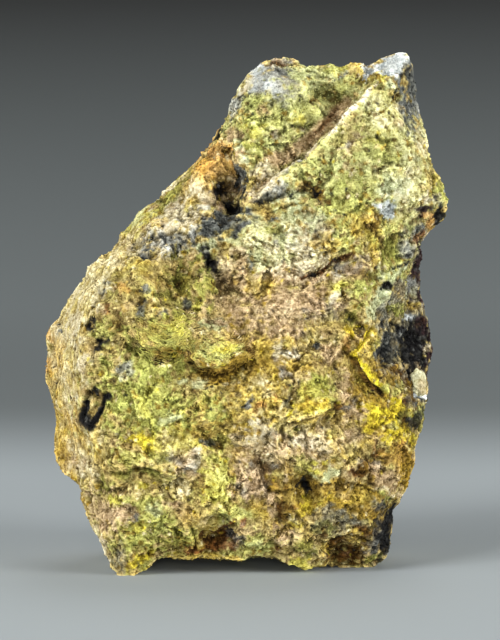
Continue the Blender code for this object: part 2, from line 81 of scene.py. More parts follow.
class Mineral(Enum):
    """The minerals and stains that colour the stone."""

    TAN = Look("#746034", "#d2bc86")
    OCHRE = Look("#8c6616", "#f2c84c")
    SULPHUR = Look("#a3941c", "#f5ec74")
    LIME = Look("#747628", "#d8de78")
    SAGE = Look("#949a68", "#e9efc4")
    PINK = Look("#8e7148", "#e8caa0")
    CREAM = Look("#c0ae76", "#fff7d6")
    AMBER = Look("#7c5214", "#e8ae50")
    RUST = Look("#3a1c08", "#865020")
    OLIVE = Look("#403c10", "#968e40")
    SLATE = Look("#4a4c4a", "#b6b7ac")
    PITCH = Look("#050505", "#141212", 0.75, 1.3)
    CHALK = Look("#a2abaa", "#f6faf6", 0.0, 0.7)
    STEEL = Look("#1b1e1d", "#5f645f", 0.0, 0.4)
    PLUM = Look("#120b0d", "#3e2929", 0.25, 1.0)
    MUSTARD = Look("#523c08", "#ac8c36")
    UMBER = Look("#1a1208", "#463618", 0.0, 0.3)
    LEMON = Look("#8a7610", "#ecdc3e")


PALETTE = tuple(Mineral)


class Crust(Enum):
    """The mixtures that the stone's crust and rock consist of: each mineral's share."""

    TAWNY = {
        Mineral.TAN: 0.46, Mineral.OCHRE: 0.16, Mineral.LIME: 0.16, Mineral.OLIVE: 0.08,
        Mineral.PINK: 0.10, Mineral.MUSTARD: 0.04,
    }
    FIELD = {
        Mineral.LIME: 0.58, Mineral.OLIVE: 0.16, Mineral.SULPHUR: 0.12, Mineral.SAGE: 0.06,
        Mineral.TAN: 0.08,
    }
    PLATE = {
        Mineral.LIME: 0.40, Mineral.SAGE: 0.28, Mineral.TAN: 0.14, Mineral.SULPHUR: 0.12,
        Mineral.OLIVE: 0.06,
    }
    PALE = {Mineral.SAGE: 0.70, Mineral.CREAM: 0.10, Mineral.LIME: 0.16, Mineral.SLATE: 0.04}
    LEAF = {Mineral.LIME: 0.30, Mineral.SAGE: 0.28, Mineral.SULPHUR: 0.42}
    VIVID = {Mineral.SULPHUR: 0.66, Mineral.LIME: 0.22, Mineral.OCHRE: 0.12}
    LEMON = {Mineral.LEMON: 0.76, Mineral.OCHRE: 0.24}
    GOLD = {
        Mineral.OCHRE: 0.40, Mineral.SULPHUR: 0.20, Mineral.TAN: 0.22, Mineral.LIME: 0.12,
        Mineral.AMBER: 0.06,
    }
    ROSE = {Mineral.PINK: 0.62, Mineral.TAN: 0.26, Mineral.CREAM: 0.06, Mineral.RUST: 0.06}
    PEACH = {Mineral.PINK: 0.36, Mineral.CREAM: 0.30, Mineral.OCHRE: 0.10, Mineral.TAN: 0.24}
    BLEACHED = {Mineral.CREAM: 0.58, Mineral.SULPHUR: 0.20, Mineral.OCHRE: 0.16, Mineral.PINK: 0.06}
    HONEY = {Mineral.OCHRE: 0.52, Mineral.CREAM: 0.34, Mineral.AMBER: 0.08, Mineral.SULPHUR: 0.06}
    MINT = {Mineral.SAGE: 0.36, Mineral.CREAM: 0.30, Mineral.SULPHUR: 0.34}
    ORANGE = {Mineral.AMBER: 0.56, Mineral.OCHRE: 0.24, Mineral.PINK: 0.12, Mineral.CREAM: 0.08}
    ASH = {Mineral.SLATE: 0.66, Mineral.CHALK: 0.12, Mineral.CREAM: 0.10, Mineral.TAN: 0.12}
    STONE = {Mineral.STEEL: 0.46, Mineral.SLATE: 0.40, Mineral.PITCH: 0.14}
    WHITE = {Mineral.CHALK: 0.93, Mineral.SLATE: 0.07}
    BUFF = {Mineral.CREAM: 0.62, Mineral.PINK: 0.16, Mineral.CHALK: 0.08, Mineral.TAN: 0.14}
    MOSS = {Mineral.OLIVE: 0.56, Mineral.LIME: 0.34, Mineral.MUSTARD: 0.10}
    DEEP = {Mineral.MUSTARD: 0.74, Mineral.OLIVE: 0.14, Mineral.OCHRE: 0.12}
    BARK = {Mineral.UMBER: 0.50, Mineral.MUSTARD: 0.24, Mineral.RUST: 0.26}
    RED = {Mineral.RUST: 0.78, Mineral.AMBER: 0.10, Mineral.PINK: 0.12}
    SOOT = {Mineral.PITCH: 0.70, Mineral.STEEL: 0.30}
    TAR = {Mineral.PITCH: 1.0}
    DUSK = {Mineral.PLUM: 0.78, Mineral.PITCH: 0.18, Mineral.SLATE: 0.04}
    MAUVE = {Mineral.SLATE: 0.36, Mineral.PINK: 0.34, Mineral.TAN: 0.12, Mineral.UMBER: 0.18}
    HOST = {Mineral.SLATE: 0.42, Mineral.TAN: 0.18, Mineral.UMBER: 0.20, Mineral.OLIVE: 0.20}

    def shares(self) -> np.ndarray:
        """The share of each mineral of the palette, in its order."""
        return np.array([self.value.get(mineral, 0.0) for mineral in PALETTE])


@dataclass(frozen=True)
class Eye:
    """The eye that drawing places are seen from, with its sums both ways. Lengths are millimetres."""

    distance: float = 450.0
    pitch: float = math.radians(6.0)
    middle_up: float = 25.8
    target: tuple[float, float, float] = (0.4441, -13.2934, 26.378)

    @property
    def ahead(self) -> Vector:
        """The unit direction that the eye looks in."""
        return Vector((0.0, math.cos(self.pitch), -math.sin(self.pitch)))

    @property
    def upward(self) -> Vector:
        """The unit direction that is up in the drawing."""
        return Vector((0.0, math.sin(self.pitch), math.cos(self.pitch)))

    @property
    def place(self) -> Vector:
        """The eye's own place in the row frame."""
        return Vector(self.target) - self.ahead * self.distance

    def drawing_places(self, points: np.ndarray) -> np.ndarray:
        """Turns places in the row frame into drawing places.

        Args:
            points: Places in the row frame, one row each.

        Returns:
            Across, up and depth of each place, one row each.
        """
        arms = points - np.array(self.target)
        depth = arms @ np.array(self.ahead)
        spread = 1.0 + depth / self.distance
        up = self.middle_up + (arms @ np.array(self.upward)) / spread
        return np.column_stack((arms[:, 0] / spread, up, depth))

    def row_place(self, across: float, up: float, depth: float) -> Vector:
        """Turns a drawing place into a place in the row frame.

        Args:
            across: Distance to the right of the drawing's middle line.
            up: Height over the lowest toe.
            depth: Distance behind the drawing.

        Returns:
            The place in the row frame.
        """
        spread = 1.0 + depth / self.distance
        right = Vector((across * spread, 0.0, 0.0))
        rise = self.upward * ((up - self.middle_up) * spread)
        return Vector(self.target) + right + rise + self.ahead * depth


EYE = Eye()


def linear(hex_value: str) -> tuple[float, float, float, float]:
    """Turns an sRGB hex value into a linear colour.

    Args:
        hex_value: Six hex digits after a hash.

    Returns:
        Red, green, blue and alpha.
    """
    parts = [int(hex_value[k:k + 2], 16) / 255.0 for k in (1, 3, 5)]
    red, green, blue = [p / 12.92 if p <= 0.04045 else ((p + 0.055) / 1.055) ** 2.4 for p in parts]
    return (red, green, blue, 1.0)


def add_node(tree: bpy.types.NodeTree, kind: str, settings: dict, links: dict) -> bpy.types.Node:
    """Adds a node with its settings and links.

    Args:
        tree: The node tree that the node goes into.
        kind: The node's type name.
        settings: Attribute names of the node with their values.
        links: Input names or numbers, each with an output socket to link or a value to set.

    Returns:
        The new node.
    """
    node = tree.nodes.new(kind)
    for name, value in settings.items():
        setattr(node, name, value)
    for name, value in links.items():
        if isinstance(value, bpy.types.NodeSocket):
            tree.links.new(value, node.inputs[name])
        else:
            node.inputs[name].default_value = value
    return node


def blended(low: float, high: float, values: np.ndarray) -> np.ndarray:
    """A smooth step from 0 at low to 1 at high.

    Args:
        low: The value that gives 0.
        high: The value that gives 1. It may be below low.
        values: The values to step.

    Returns:
        The stepped values.
    """
    share = np.clip((values - low) / (high - low), 0.0, 1.0)
    return share * share * (3.0 - 2.0 * share)


def scrambled(cells: np.ndarray, seed: int) -> np.ndarray:
    """A random whole number for each cell of a lattice.

    Args:
        cells: Three whole numbers for each cell, one row each.
        seed: Changes all the numbers.

    Returns:
        One whole number below 2**32 for each cell.
    """
    first, second, third = (cells[:, k] * prime for k, prime in enumerate(CELL_PRIMES))
    key = first ^ second ^ third ^ (seed * SEED_PRIME)
    for shift, prime in zip((15, 12), STIRRING_PRIMES):
        key = ((key ^ (key >> shift)) * prime) & HASH_MASK
    return key ^ (key >> 14)


def arrows(numbers: np.ndarray) -> np.ndarray:
    """Three values between -1 and 1 from each random whole number, one row each."""
    return np.stack([((numbers >> shift) & 1023) / 511.5 - 1.0 for shift in (0, 10, 20)], axis=-1)


def waves(points: np.ndarray, size: float, octaves: int, seed: int) -> np.ndarray:
    """Fractal noise at each point.

    Args:
        points: Places in millimetres, one row each.
        size: The longest wave in millimetres.
        octaves: How many ever finer waves are added.
        seed: Tells one field from another.

    Returns:
        Values around 0, mostly between -1 and 1.
    """
    total = np.zeros(len(points))
    strength = 1.6
    for octave in range(octaves):
        here = points / size
        floor = np.floor(here)
        inside = here - floor
        cells = floor.astype(np.int64)
        ease = inside ** 3 * (inside * (inside * 6.0 - 15.0) + 10.0)
        for corner in CORNERS:
            weight = np.prod(np.where(corner, ease, 1.0 - ease), axis=1)
            slopes = arrows(scrambled(cells + corner, seed + 1000 * octave))
            total += strength * weight * np.einsum("ij,ij->i", inside - corner, slopes)
        size *= OCTAVE_SIZE
        strength *= OCTAVE_STRENGTH
    return total


@dataclass
class Chunks:
    """The nearest of the rough chunks that fill all space, at each of a row of points."""

    gap: np.ndarray
    arm: np.ndarray
    number: np.ndarray

    @classmethod
    def at(cls, points: np.ndarray, size: float, seed: int) -> "Chunks":
        """Finds the chunk that each point lies in.

        Args:
            points: Places in millimetres, one row each.
            size: The chunks' usual width in millimetres.
            seed: Tells one filling from another.

        Returns:
            The distance to the chunk's middle and the way from it, both in chunk widths, and the chunk's
            random number.
        """
        here = points / size
        cells = np.floor(here).astype(np.int64)
        best = np.full(len(points), np.inf)
        arm = np.zeros_like(here)
        number = np.zeros(len(points), np.int64)
        for step in itertools.product((-1, 0, 1), repeat=3):
            cell = cells + np.array(step)
            own = scrambled(cell, seed)
            away = here - (cell + 0.5 + CHUNK_JITTER * arrows(own))
            distance = np.sqrt(np.einsum("ij,ij->i", away, away))
            nearer = distance < best
            best = np.where(nearer, distance, best)
            arm[nearer] = away[nearer]
            number[nearer] = own[nearer]
        return cls(best, arm, number)

    def facets(self) -> np.ndarray:
        """The height of a flat break across each chunk, around 0, in chunk widths."""
        tilt = arrows((self.number * 97) & HASH_MASK)
        return np.einsum("ij,ij->i", self.arm, tilt)

    def picks(self) -> np.ndarray:
        """A random value from 0 to 1 for each point, the same all over its chunk."""
        return ((self.number >> 5) & 0xFFFF) / 65535.0


def along_line(places: np.ndarray, line: tuple) -> tuple[np.ndarray, np.ndarray, np.ndarray]:
    """Where each drawing place lies beside a line of straight stretches.

    Args:
        places: Drawing places, one row each.
        line: The line's points, each with across and up first.

    Returns:
        The distance to the line, the same with a minus sign on the line's right side, and the way along the
        line.
    """
    best = np.full(len(places), np.inf)
    side = np.zeros(len(places))
    way = np.zeros(len(places))
    done = 0.0
    for start, end in zip(line, line[1:]):
        first = np.array(start[:2])
        run = np.array(end[:2]) - first
        length = math.hypot(*run)
        arms = places[:, :2] - first
        share = np.clip((arms @ run) / length ** 2, 0.0, 1.0)
        gaps = arms - share[:, None] * run
        distance = np.hypot(gaps[:, 0], gaps[:, 1])
        nearer = distance < best
        best[nearer] = distance[nearer]
        side[nearer] = np.sign(run[0] * arms[nearer, 1] - run[1] * arms[nearer, 0])
        way[nearer] = done + share[nearer] * length
        done += length
    return best, best * side, way


@dataclass
class Skin:
    """A triangle skin as arrays, in millimetres, with the sums that shape it."""

    points: np.ndarray
    edges: np.ndarray
    faces: np.ndarray

    @classmethod
    def from_mesh(cls, mesh: bpy.types.Mesh) -> "Skin":
        """Reads a triangle mesh in metres.

        Args:
            mesh: The mesh, whose faces are all triangles.

        Returns:
            The skin.
        """
        points = np.empty(len(mesh.vertices) * 3)
        mesh.vertices.foreach_get("co", points)
        edges = np.empty(len(mesh.edges) * 2, int)
        mesh.edges.foreach_get("vertices", edges)
        faces = np.empty(len(mesh.polygons) * 3, int)
        mesh.polygons.foreach_get("vertices", faces)
        return cls(points.reshape(-1, 3) / MM, edges.reshape(-1, 2), faces.reshape(-1, 3))

    def normals(self) -> np.ndarray:
        """The unit normal at each point."""
        first, second, third = (self.points[self.faces[:, k]] for k in range(3))
        crosses = np.cross(second - first, third - first)
        total = np.zeros_like(self.points)
        for k in range(3):
            np.add.at(total, self.faces[:, k], crosses)
        return total / np.maximum(np.linalg.norm(total, axis=1, keepdims=True), 1e-12)

    def spread(self, values: np.ndarray, passes: int) -> np.ndarray:
        """Averages values with their neighbours'.

        Args:
            values: One value or one row for each point.
            passes: How often each point takes the mean of itself and its neighbours' mean.

        Returns:
            The averaged values.
        """
        ends = np.concatenate((self.edges, self.edges[:, ::-1]))
        ends = ends[np.argsort(ends[:, 0], kind="stable")]
        starts = np.searchsorted(ends[:, 0], np.arange(len(self.points)))
        count = np.bincount(ends[:, 0], minlength=len(self.points)).astype(float)
        count = count if values.ndim == 1 else count[:, None]
        for _ in range(passes):
            values = 0.5 * values + 0.5 * np.add.reduceat(values[ends[:, 1]], starts, axis=0) / count
        return values


@dataclass(frozen=True)
class Oval:
    """An oval on the front, in drawing millimetres and degrees."""

    across: float
    up: float
    half_width: float
    half_height: float
    turn: float = 0.0

    def reach(self, places: np.ndarray) -> np.ndarray:
        """How far out each drawing place lies: 0 at the middle, 1 on the rim."""
        cosine, sine = math.cos(math.radians(self.turn)), math.sin(math.radians(self.turn))
        right, rise = places[:, 0] - self.across, places[:, 1] - self.up
        along = (right * cosine + rise * sine) / self.half_width
        over = (rise * cosine - right * sine) / self.half_height
        return np.hypot(along, over)


@dataclass(frozen=True)
class Patch:
    """An oval on the front that one crust covers. Its cover fades over the rim, in parts of the oval."""

    oval: Oval
    strength: float = 1.0
    rim: tuple[float, float] = (1.35, 0.55)

    def share(self, places: np.ndarray, fraying: np.ndarray) -> np.ndarray:
        """How much of the crust each drawing place has, from 0 to 1, with a frayed edge."""
        return self.strength * blended(*self.rim, self.oval.reach(places) + fraying)


@dataclass(frozen=True)
class Vein:
    """A streak of one crust along a line on the front. Its cover fades over the rim, in half widths."""

    line: tuple
    half_width: float
    strength: float = 1.0
    rim: tuple[float, float] = (1.5, 0.5)
    raggedness: float = 0.22

    def share(self, places: np.ndarray, fraying: np.ndarray) -> np.ndarray:
        """How much of the crust each drawing place has, from 0 to 1, with a frayed edge."""
        distance, _, _ = along_line(places, self.line)
        outer, inner = (part * self.half_width for part in self.rim)
        return self.strength * blended(outer, inner, distance + self.raggedness * fraying)


@dataclass(frozen=True)
class Dent:
    """A rounded hollow in the front, or a bump where its depth is negative. All millimetres."""

    oval: Oval
    depth: float
    rim: tuple[float, float] = (1.15, 0.25)

    def rise(self, places: np.ndarray) -> np.ndarray:
        """How far each drawing place is raised."""
        return -self.depth * blended(*self.rim, self.oval.reach(places))


@dataclass(frozen=True)
class Groove:
    """A crack along a line on the front, or a ridge where its depth is negative. All millimetres."""

    line: tuple
    half_width: float
    depth: float

    def rise(self, places: np.ndarray) -> np.ndarray:
        """How far each drawing place is raised."""
        distance, _, _ = along_line(places, self.line)
        return -self.depth * np.exp(-(distance / self.half_width) ** 2)


@dataclass(frozen=True)
class Ledge:
    """A layer's broken edge: raised on the line's left side, fading over its reach. All millimetres."""

    line: tuple
    height: float
    reach: float
    brink: float = 0.12
    taper: float = 1.2

    def rise(self, places: np.ndarray) -> np.ndarray:
        """How far each drawing place is raised."""
        distance, signed, way = along_line(places, self.line)
        over = blended(-self.brink, self.brink, signed)
        ends = blended(0.0, self.taper, way) * blended(0.0, self.taper, way.max() - way)
        return self.height * over * np.exp(-(distance / self.reach) ** 2) * ends


@dataclass(frozen=True)
class Plait:
    """Fibres of crust that run side by side along a line on the front. All millimetres."""

    line: tuple
    half_width: float
    height: float
    fibre: float = 0.30
    length: float = 2.6
    crown: float = 0.35
    rim: tuple[float, float] = (1.4, 0.7)

    def rise(self, places: np.ndarray, seed: int) -> np.ndarray:
        """How far each drawing place is raised.

        Args:
            places: Drawing places, one row each.
            seed: Tells one plait's fibres from another's.

        Returns:
            The rise of each place.
        """
        distance, signed, way = along_line(places, self.line)
        near = distance < self.rim[0] * self.half_width
        strands = np.column_stack((way[near] / self.length, signed[near] / self.fibre, np.zeros(near.sum())))
        ridges = self.crown - np.abs(waves(strands, size=1.0, octaves=2, seed=seed))
        rise = np.zeros(len(places))
        rise[near] = self.height * ridges * blended(*self.rim, distance[near] / self.half_width)
        return rise


C = Crust

# Crusts on the front, each (crust, across, up, half width, half height, turn, strength), from broad fields to
# small spots. A later one lies over an earlier one.
FIELDS = (
    # broad drifts
    (C.DEEP, -1.0, 21.4, 7.0, 2.4, 5, 0.85),
    (C.DEEP, -7.5, 22.5, 3.0, 1.6, -10, 0.8),
    (C.DEEP, 11.4, 19.4, 1.8, 3.2, -30, 0.95),
    (C.DEEP, 14.6, 19.6, 2.0, 2.4, 0, 0.6),
    (C.MOSS, 15.6, 15.6, 2.2, 1.6, 0, 0.9),
    (C.BARK, 15.6, 15.6, 2.0, 1.4, 0, 0.5),
    (C.DEEP, 5.4, 8.6, 5.2, 2.4, 0, 0.75),
    (C.DEEP, 11.4, 6.4, 3.0, 2.6, 0, 0.8),
    (C.BARK, 1.2, 9.0, 1.5, 2.8, 0, 0.75),
    (C.GOLD, -5.2, 3.2, 3.0, 1.3, 0, 0.7),
    (C.GOLD, 1.5, 15.8, 8.5, 2.6, 0, 0.9),
    (C.BLEACHED, 1.5, 15.6, 6.5, 2.0, 0, 0.3),
    (C.GOLD, -4.0, 14.6, 3.6, 2.6, 0, 0.7),
    (C.VIVID, -7.6, 13.2, 2.6, 1.9, 0, 0.7),
    (C.PEACH, 1.6, 12.6, 4.0, 1.9, 0, 0.8),
    (C.PEACH, -6.4, 10.6, 1.8, 1.4, 0, 0.8),
    (C.GOLD, -4.0, 5.8, 2.8, 2.0, 0, 0.9),
    (C.BLEACHED, -4.0, 6.4, 1.8, 1.2, 0, 0.4),
    (C.LEAF, -1.2, 2.8, 1.8, 1.6, 0, 0.8),
    (C.DEEP, -0.2, 25.2, 5.0, 2.0, 0, 0.5),
    (C.BUFF, 4.2, 30.8, 2.4, 1.3, 0, 1.0),
    (C.ROSE, 7.2, 30.4, 2.6, 1.2, 0, 0.8),
    (C.HOST, 16.4, 33.4, 1.6, 3.0, 0, 0.9),
    (C.HOST, 15.6, 26.6, 3.0, 4.0, 0, 0.8),
    (C.MAUVE, 16.2, 20.4, 1.6, 3.0, 0, 0.7),
    (C.ASH, -8.8, 33.4, 3.4, 1.8, 15, 0.7),
    (C.HOST, -3.8, 30.6, 1.4, 1.5, 0, 0.7),
    (C.HOST, -3.7, 33.2, 1.2, 0.8, 0, 0.7),
    (C.MAUVE, -3.8, 38.0, 1.3, 1.0, 0, 0.7),
    (C.STONE, -1.2, 35.6, 1.2, 1.0, 0, 0.6),
    (C.BUFF, -11.4, 33.0, 1.4, 0.8, 20, 0.8),
    (C.FIELD, 13.4, 30.6, 2.2, 1.6, 0, 0.8),
    (C.ROSE, -2.4, 28.0, 2.4, 3.6, 0, 0.5),
    # upper block
    (C.PLATE, 3.0, 46.5, 6.5, 5.5, 20, 1.0),
    (C.ASH, 2.4, 49.7, 3.4, 1.7, -8, 0.95),
    (C.HOST, 2.6, 49.3, 3.0, 1.2, -8, 0.4),
    (C.WHITE, 1.0, 49.7, 1.4, 0.8, 10, 0.3),
    (C.BUFF, -0.9, 48.9, 1.7, 0.5, 52, 0.8),
    (C.ASH, -1.4, 47.3, 1.4, 0.5, 52, 0.8),
    (C.MAUVE, 3.2, 51.6, 1.6, 0.5, 6, 0.9),
    (C.RED, 3.0, 51.3, 1.1, 0.25, 6, 0.8),
    (C.STONE, 3.2, 50.6, 1.1, 0.3, 4, 0.8),
    (C.WHITE, 0.6, 51.0, 1.2, 0.5, 40, 0.6),
    (C.FIELD, 7.4, 50.2, 3.2, 1.9, 0, 0.6),
    (C.PALE, 6.8, 50.3, 2.6, 1.3, 0, 0.6),
    (C.VIVID, 8.7, 51.0, 1.3, 0.6, 0, 0.7),
    (C.MOSS, 0.6, 47.5, 1.2, 0.8, 0, 0.5),
    (C.RED, 1.5, 46.6, 0.7, 0.6, 0, 0.5),
    (C.STONE, 2.9, 47.6, 1.0, 0.55, 0, 0.6),
    (C.MAUVE, 3.0, 44.1, 0.8, 0.4, 0, 0.8),
    (C.FIELD, 0.8, 45.2, 1.9, 1.2, 0, 0.7),
    (C.VIVID, 1.2, 44.9, 1.2, 0.7, 0, 0.5),
    (C.MOSS, 0.4, 43.0, 1.7, 0.7, -30, 1.0),
    (C.MOSS, 0.4, 43.0, 1.3, 0.5, -30, 1.0),
    (C.PALE, -0.9, 42.6, 0.5, 1.6, 28, 0.9),
    (C.VIVID, 4.9, 46.1, 1.3, 0.9, 10, 0.75),
    (C.MINT, 6.7, 46.7, 1.0, 1.1, 20, 0.95),
    (C.MAUVE, 4.8, 44.9, 0.9, 0.6, 20, 0.75),
    (C.STONE, 5.7, 45.2, 0.5, 0.5, 0, 0.7),
    (C.ASH, 6.2, 50.3, 0.6, 0.35, 0, 0.7),
    (C.STONE, 9.1, 50.4, 0.55, 0.32, 0, 1.0),
    # pit and channel
    (C.DEEP, 8.2, 48.0, 1.4, 0.7, -20, 0.9),
    (C.ROSE, 9.2, 46.7, 1.0, 0.9, 45, 0.95),
    (C.RED, 8.9, 47.2, 0.9, 0.35, 0, 0.6),
    (C.ROSE, 7.2, 44.9, 1.3, 0.6, 42, 0.95),
    (C.RED, 7.2, 45.0, 0.7, 0.2, 20, 0.6),
    (C.ROSE, 5.0, 43.0, 2.0, 1.0, 32, 1.0),
    (C.RED, 6.6, 43.7, 0.7, 0.3, 25, 0.95),
    (C.ROSE, 2.6, 41.7, 2.0, 1.0, 30, 1.0),
    (C.MAUVE, 3.4, 42.4, 1.3, 0.5, 0, 0.85),
    (C.FIELD, 3.6, 41.4, 0.5, 0.35, 0, 0.8),
    (C.VIVID, 5.2, 41.9, 0.9, 0.25, 35, 0.9),
    (C.PEACH, 1.9, 40.5, 1.6, 0.6, 20, 0.9),
    (C.ROSE, 1.7, 39.3, 1.5, 0.6, 35, 1.0),
    (C.BUFF, 0.4, 38.9, 0.6, 0.6, 40, 0.7),
    # upper plate right of the step
    (C.PLATE, 11.5, 41.5, 8.0, 9.0, 30, 1.0),
    (C.GOLD, 11.4, 50.6, 1.3, 0.8, -20, 0.9),
    (C.BARK, 12.0, 50.3, 0.8, 0.4, -40, 0.5),
    (C.VIVID, 13.3, 49.9, 1.5, 0.4, 25, 0.85),
    (C.MINT, 13.8, 46.3, 3.2, 2.2, -25, 1.0),
    (C.MINT, 16.3, 43.6, 2.2, 2.2, -40, 1.0),
    (C.MINT, 16.4, 43.8, 1.5, 1.0, -40, 1.0),
    (C.PALE, 14.3, 49.2, 0.7, 0.6, 0, 0.8),
    (C.MOSS, 13.1, 48.9, 0.7, 0.4, 0, 0.4),
    (C.RED, 14.8, 45.6, 0.5, 0.4, 0, 0.5),
    (C.TAWNY, 9.6, 44.3, 2.2, 1.8, 40, 0.6),
    (C.MAUVE, 9.3, 43.4, 0.7, 0.5, 0, 0.7),
    (C.MAUVE, 11.2, 44.4, 0.9, 0.4, 0, 0.5),
    (C.MOSS, 13.1, 43.8, 1.2, 0.6, 0, 0.8),
    (C.MOSS, 13.0, 42.4, 1.1, 1.2, 0, 0.5),
    (C.BARK, 13.2, 40.8, 0.9, 0.35, 25, 0.7),
    (C.BLEACHED, 17.3, 42.7, 1.0, 0.8, 0, 0.8),
    (C.MOSS, 14.8, 42.0, 0.9, 0.6, 0, 0.6),
    (C.STONE, 16.2, 41.4, 1.3, 0.5, 35, 0.45),
    (C.MINT, 16.0, 39.6, 2.4, 2.4, 0, 1.0),
    (C.PALE, 14.6, 39.4, 1.4, 1.0, 0, 0.9),
    (C.ASH, 14.4, 38.4, 0.9, 0.5, 0, 0.5),
    (C.MINT, 15.8, 37.2, 2.2, 1.5, 15, 1.0),
    # pale and white that lighten a spot lying in shade: painted light
    (C.PALE, 13.5, 36.7, 1.2, 1.2, 10, 1.0),
    (C.WHITE, 13.5, 36.7, 0.9, 0.9, 10, 0.9),
    (C.ROSE, 10.6, 41.2, 1.3, 0.7, 20, 0.5),
    (C.TAWNY, 6.6, 42.2, 1.8, 0.5, 30, 0.5),
    (C.ASH, 5.4, 41.4, 0.8, 0.25, 35, 0.85),
    (C.FIELD, 9.5, 38.0, 3.2, 2.6, 0, 0.6),
    (C.LEAF, 8.9, 37.4, 1.0, 0.7, 0, 0.5),
    (C.MOSS, 12.3, 38.2, 0.4, 0.6, 0, 0.6),
    (C.GOLD, 11.5, 35.2, 1.4, 2.0, 10, 0.8),
    (C.BARK, 12.3, 35.6, 0.4, 0.8, 15, 0.8),
    (C.GOLD, 12.7, 32.6, 0.9, 2.2, 0, 0.95),
    (C.LEAF, 9.7, 33.5, 1.1, 0.8, 10, 0.75),
    (C.MOSS, 14.3, 33.1, 1.5, 1.8, 0, 0.75),
    (C.ASH, 15.2, 33.2, 0.8, 0.8, 0, 0.6),
    (C.LEAF, 14.4, 35.2, 1.2, 0.6, 30, 0.6),
    # rounded lumps on the right edge
    (C.FIELD, 18.8, 39.2, 1.3, 2.2, 0, 0.9),
    (C.DEEP, 18.8, 39.6, 0.9, 1.5, 0, 0.5),
    (C.TAWNY, 18.1, 39.6, 0.6, 1.2, 0, 0.6),
    (C.BUFF, 18.4, 37.8, 1.2, 0.4, -10, 0.7),
    (C.ORANGE, 17.9, 35.8, 0.8, 0.9, 0, 0.9),
    (C.DUSK, 17.4, 36.9, 1.0, 0.35, 15, 0.8),
    (C.TAR, 18.9, 36.5, 0.6, 0.9, -15, 0.95),
    (C.BUFF, 17.5, 34.6, 0.4, 0.4, 0, 0.9),
    (C.STONE, 16.7, 34.9, 0.5, 0.4, 0, 0.8),
    (C.RED, 16.8, 34.2, 0.8, 0.25, 15, 0.9),
    # tip block
    (C.WHITE, 14.7, 51.6, 2.6, 1.2, 12, 1.0),
    (C.ASH, 13.8, 51.0, 1.0, 0.35, 5, 0.6),
    (C.STONE, 16.4, 48.9, 0.9, 3.8, -2, 1.0),
    (C.ASH, 16.5, 47.4, 0.4, 1.3, 5, 0.7),
    (C.TAR, 14.8, 48.0, 0.22, 0.65, -35, 0.95),
    # under the step
    (C.PLATE, 5.2, 39.9, 2.0, 0.9, 30, 0.6),
    (C.STONE, 1.9, 38.0, 1.7, 0.45, 30, 0.75),
    (C.TAR, 0.9, 37.5, 0.6, 0.25, 15, 0.8),
    (C.ASH, 2.9, 39.1, 0.8, 0.5, 40, 0.8),
    (C.BARK, 6.4, 38.4, 1.4, 0.6, -15, 0.9),
    (C.TAR, 6.5, 38.2, 0.6, 0.2, -15, 0.9),
    (C.BARK, 5.2, 36.8, 1.1, 0.8, 0, 0.7),
    (C.MOSS, 3.2, 36.8, 1.3, 0.5, 15, 0.4),
    (C.PALE, 4.0, 38.0, 1.2, 1.0, 0, 0.8),
    (C.PALE, 3.6, 35.9, 1.6, 0.9, 0, 0.6),
    (C.PALE, 6.2, 35.5, 1.5, 1.3, 0, 0.8),
    (C.BUFF, 1.2, 40.4, 1.0, 0.9, 0, 0.6),
    (C.PALE, 1.8, 33.6, 3.8, 2.3, -22, 1.0),
    (C.MINT, 1.0, 34.2, 3.0, 2.0, -22, 0.8),
    (C.MOSS, 2.6, 34.9, 0.7, 0.6, 0, 0.8),
    (C.STONE, 2.4, 36.0, 0.6, 0.3, 0, 0.7),
    (C.MINT, 4.6, 32.2, 3.4, 1.4, -14, 0.9),
    (C.BUFF, 5.8, 32.2, 2.8, 1.2, -8, 0.6),
    (C.MAUVE, 7.4, 35.0, 1.0, 0.8, 0, 0.5),
    (C.BUFF, 5.0, 34.6, 1.2, 0.9, 0, 0.5),
    (C.ASH, 3.8, 33.2, 0.9, 0.5, 0, 0.6),
    (C.STONE, 0.5, 31.6, 0.5, 1.0, 0, 0.75),
    (C.GOLD, 8.2, 33.0, 1.0, 0.6, 15, 0.85),
    (C.MAUVE, 10.0, 31.2, 1.8, 0.8, 15, 0.9),
    (C.BARK, 11.2, 30.4, 1.3, 1.0, 0, 0.7),
    (C.MAUVE, 9.4, 31.3, 1.0, 0.4, 20, 0.7),
    (C.BUFF, 6.0, 29.6, 2.4, 0.5, 10, 0.7),
    (C.BUFF, 4.6, 30.6, 1.7, 0.6, 5, 1.0),
    # orange lump, notch and the slate band
    (C.ORANGE, -4.2, 40.9, 1.5, 3.2, -36, 1.0),
    (C.HONEY, -5.2, 39.2, 1.0, 1.4, -36, 0.8),
    (C.BUFF, -5.4, 38.3, 0.8, 0.6, 0, 0.7),
    (C.ROSE, -2.0, 40.0, 1.3, 2.6, -12, 0.8),
    (C.HONEY, -3.0, 40.2, 0.9, 1.6, -30, 0.8),
    (C.ORANGE, -3.0, 40.6, 0.7, 1.2, -30, 0.7),
    (C.BARK, -3.1, 38.6, 0.7, 1.2, -10, 0.8),
    (C.TAR, -3.2, 38.4, 0.4, 0.7, -10, 0.9),
    (C.STONE, -0.9, 40.2, 0.9, 1.0, -20, 0.9),
    (C.STONE, -1.0, 38.6, 0.5, 0.8, -10, 0.6),
    (C.TAR, -1.5, 37.1, 0.8, 0.5, 40, 1.0),
    (C.ORANGE, -2.5, 43.1, 0.8, 0.6, 30, 0.8),
    (C.TAR, -3.4, 44.4, 0.9, 0.25, 52, 0.8),
    (C.ROSE, -1.6, 44.6, 0.8, 0.8, 0, 0.7),
    (C.STONE, -3.2, 35.3, 2.5, 1.3, 14, 1.0),
    (C.ASH, -4.9, 36.6, 1.3, 0.5, -4, 0.9),
    (C.BUFF, -7.4, 36.0, 1.9, 1.7, 25, 1.0),
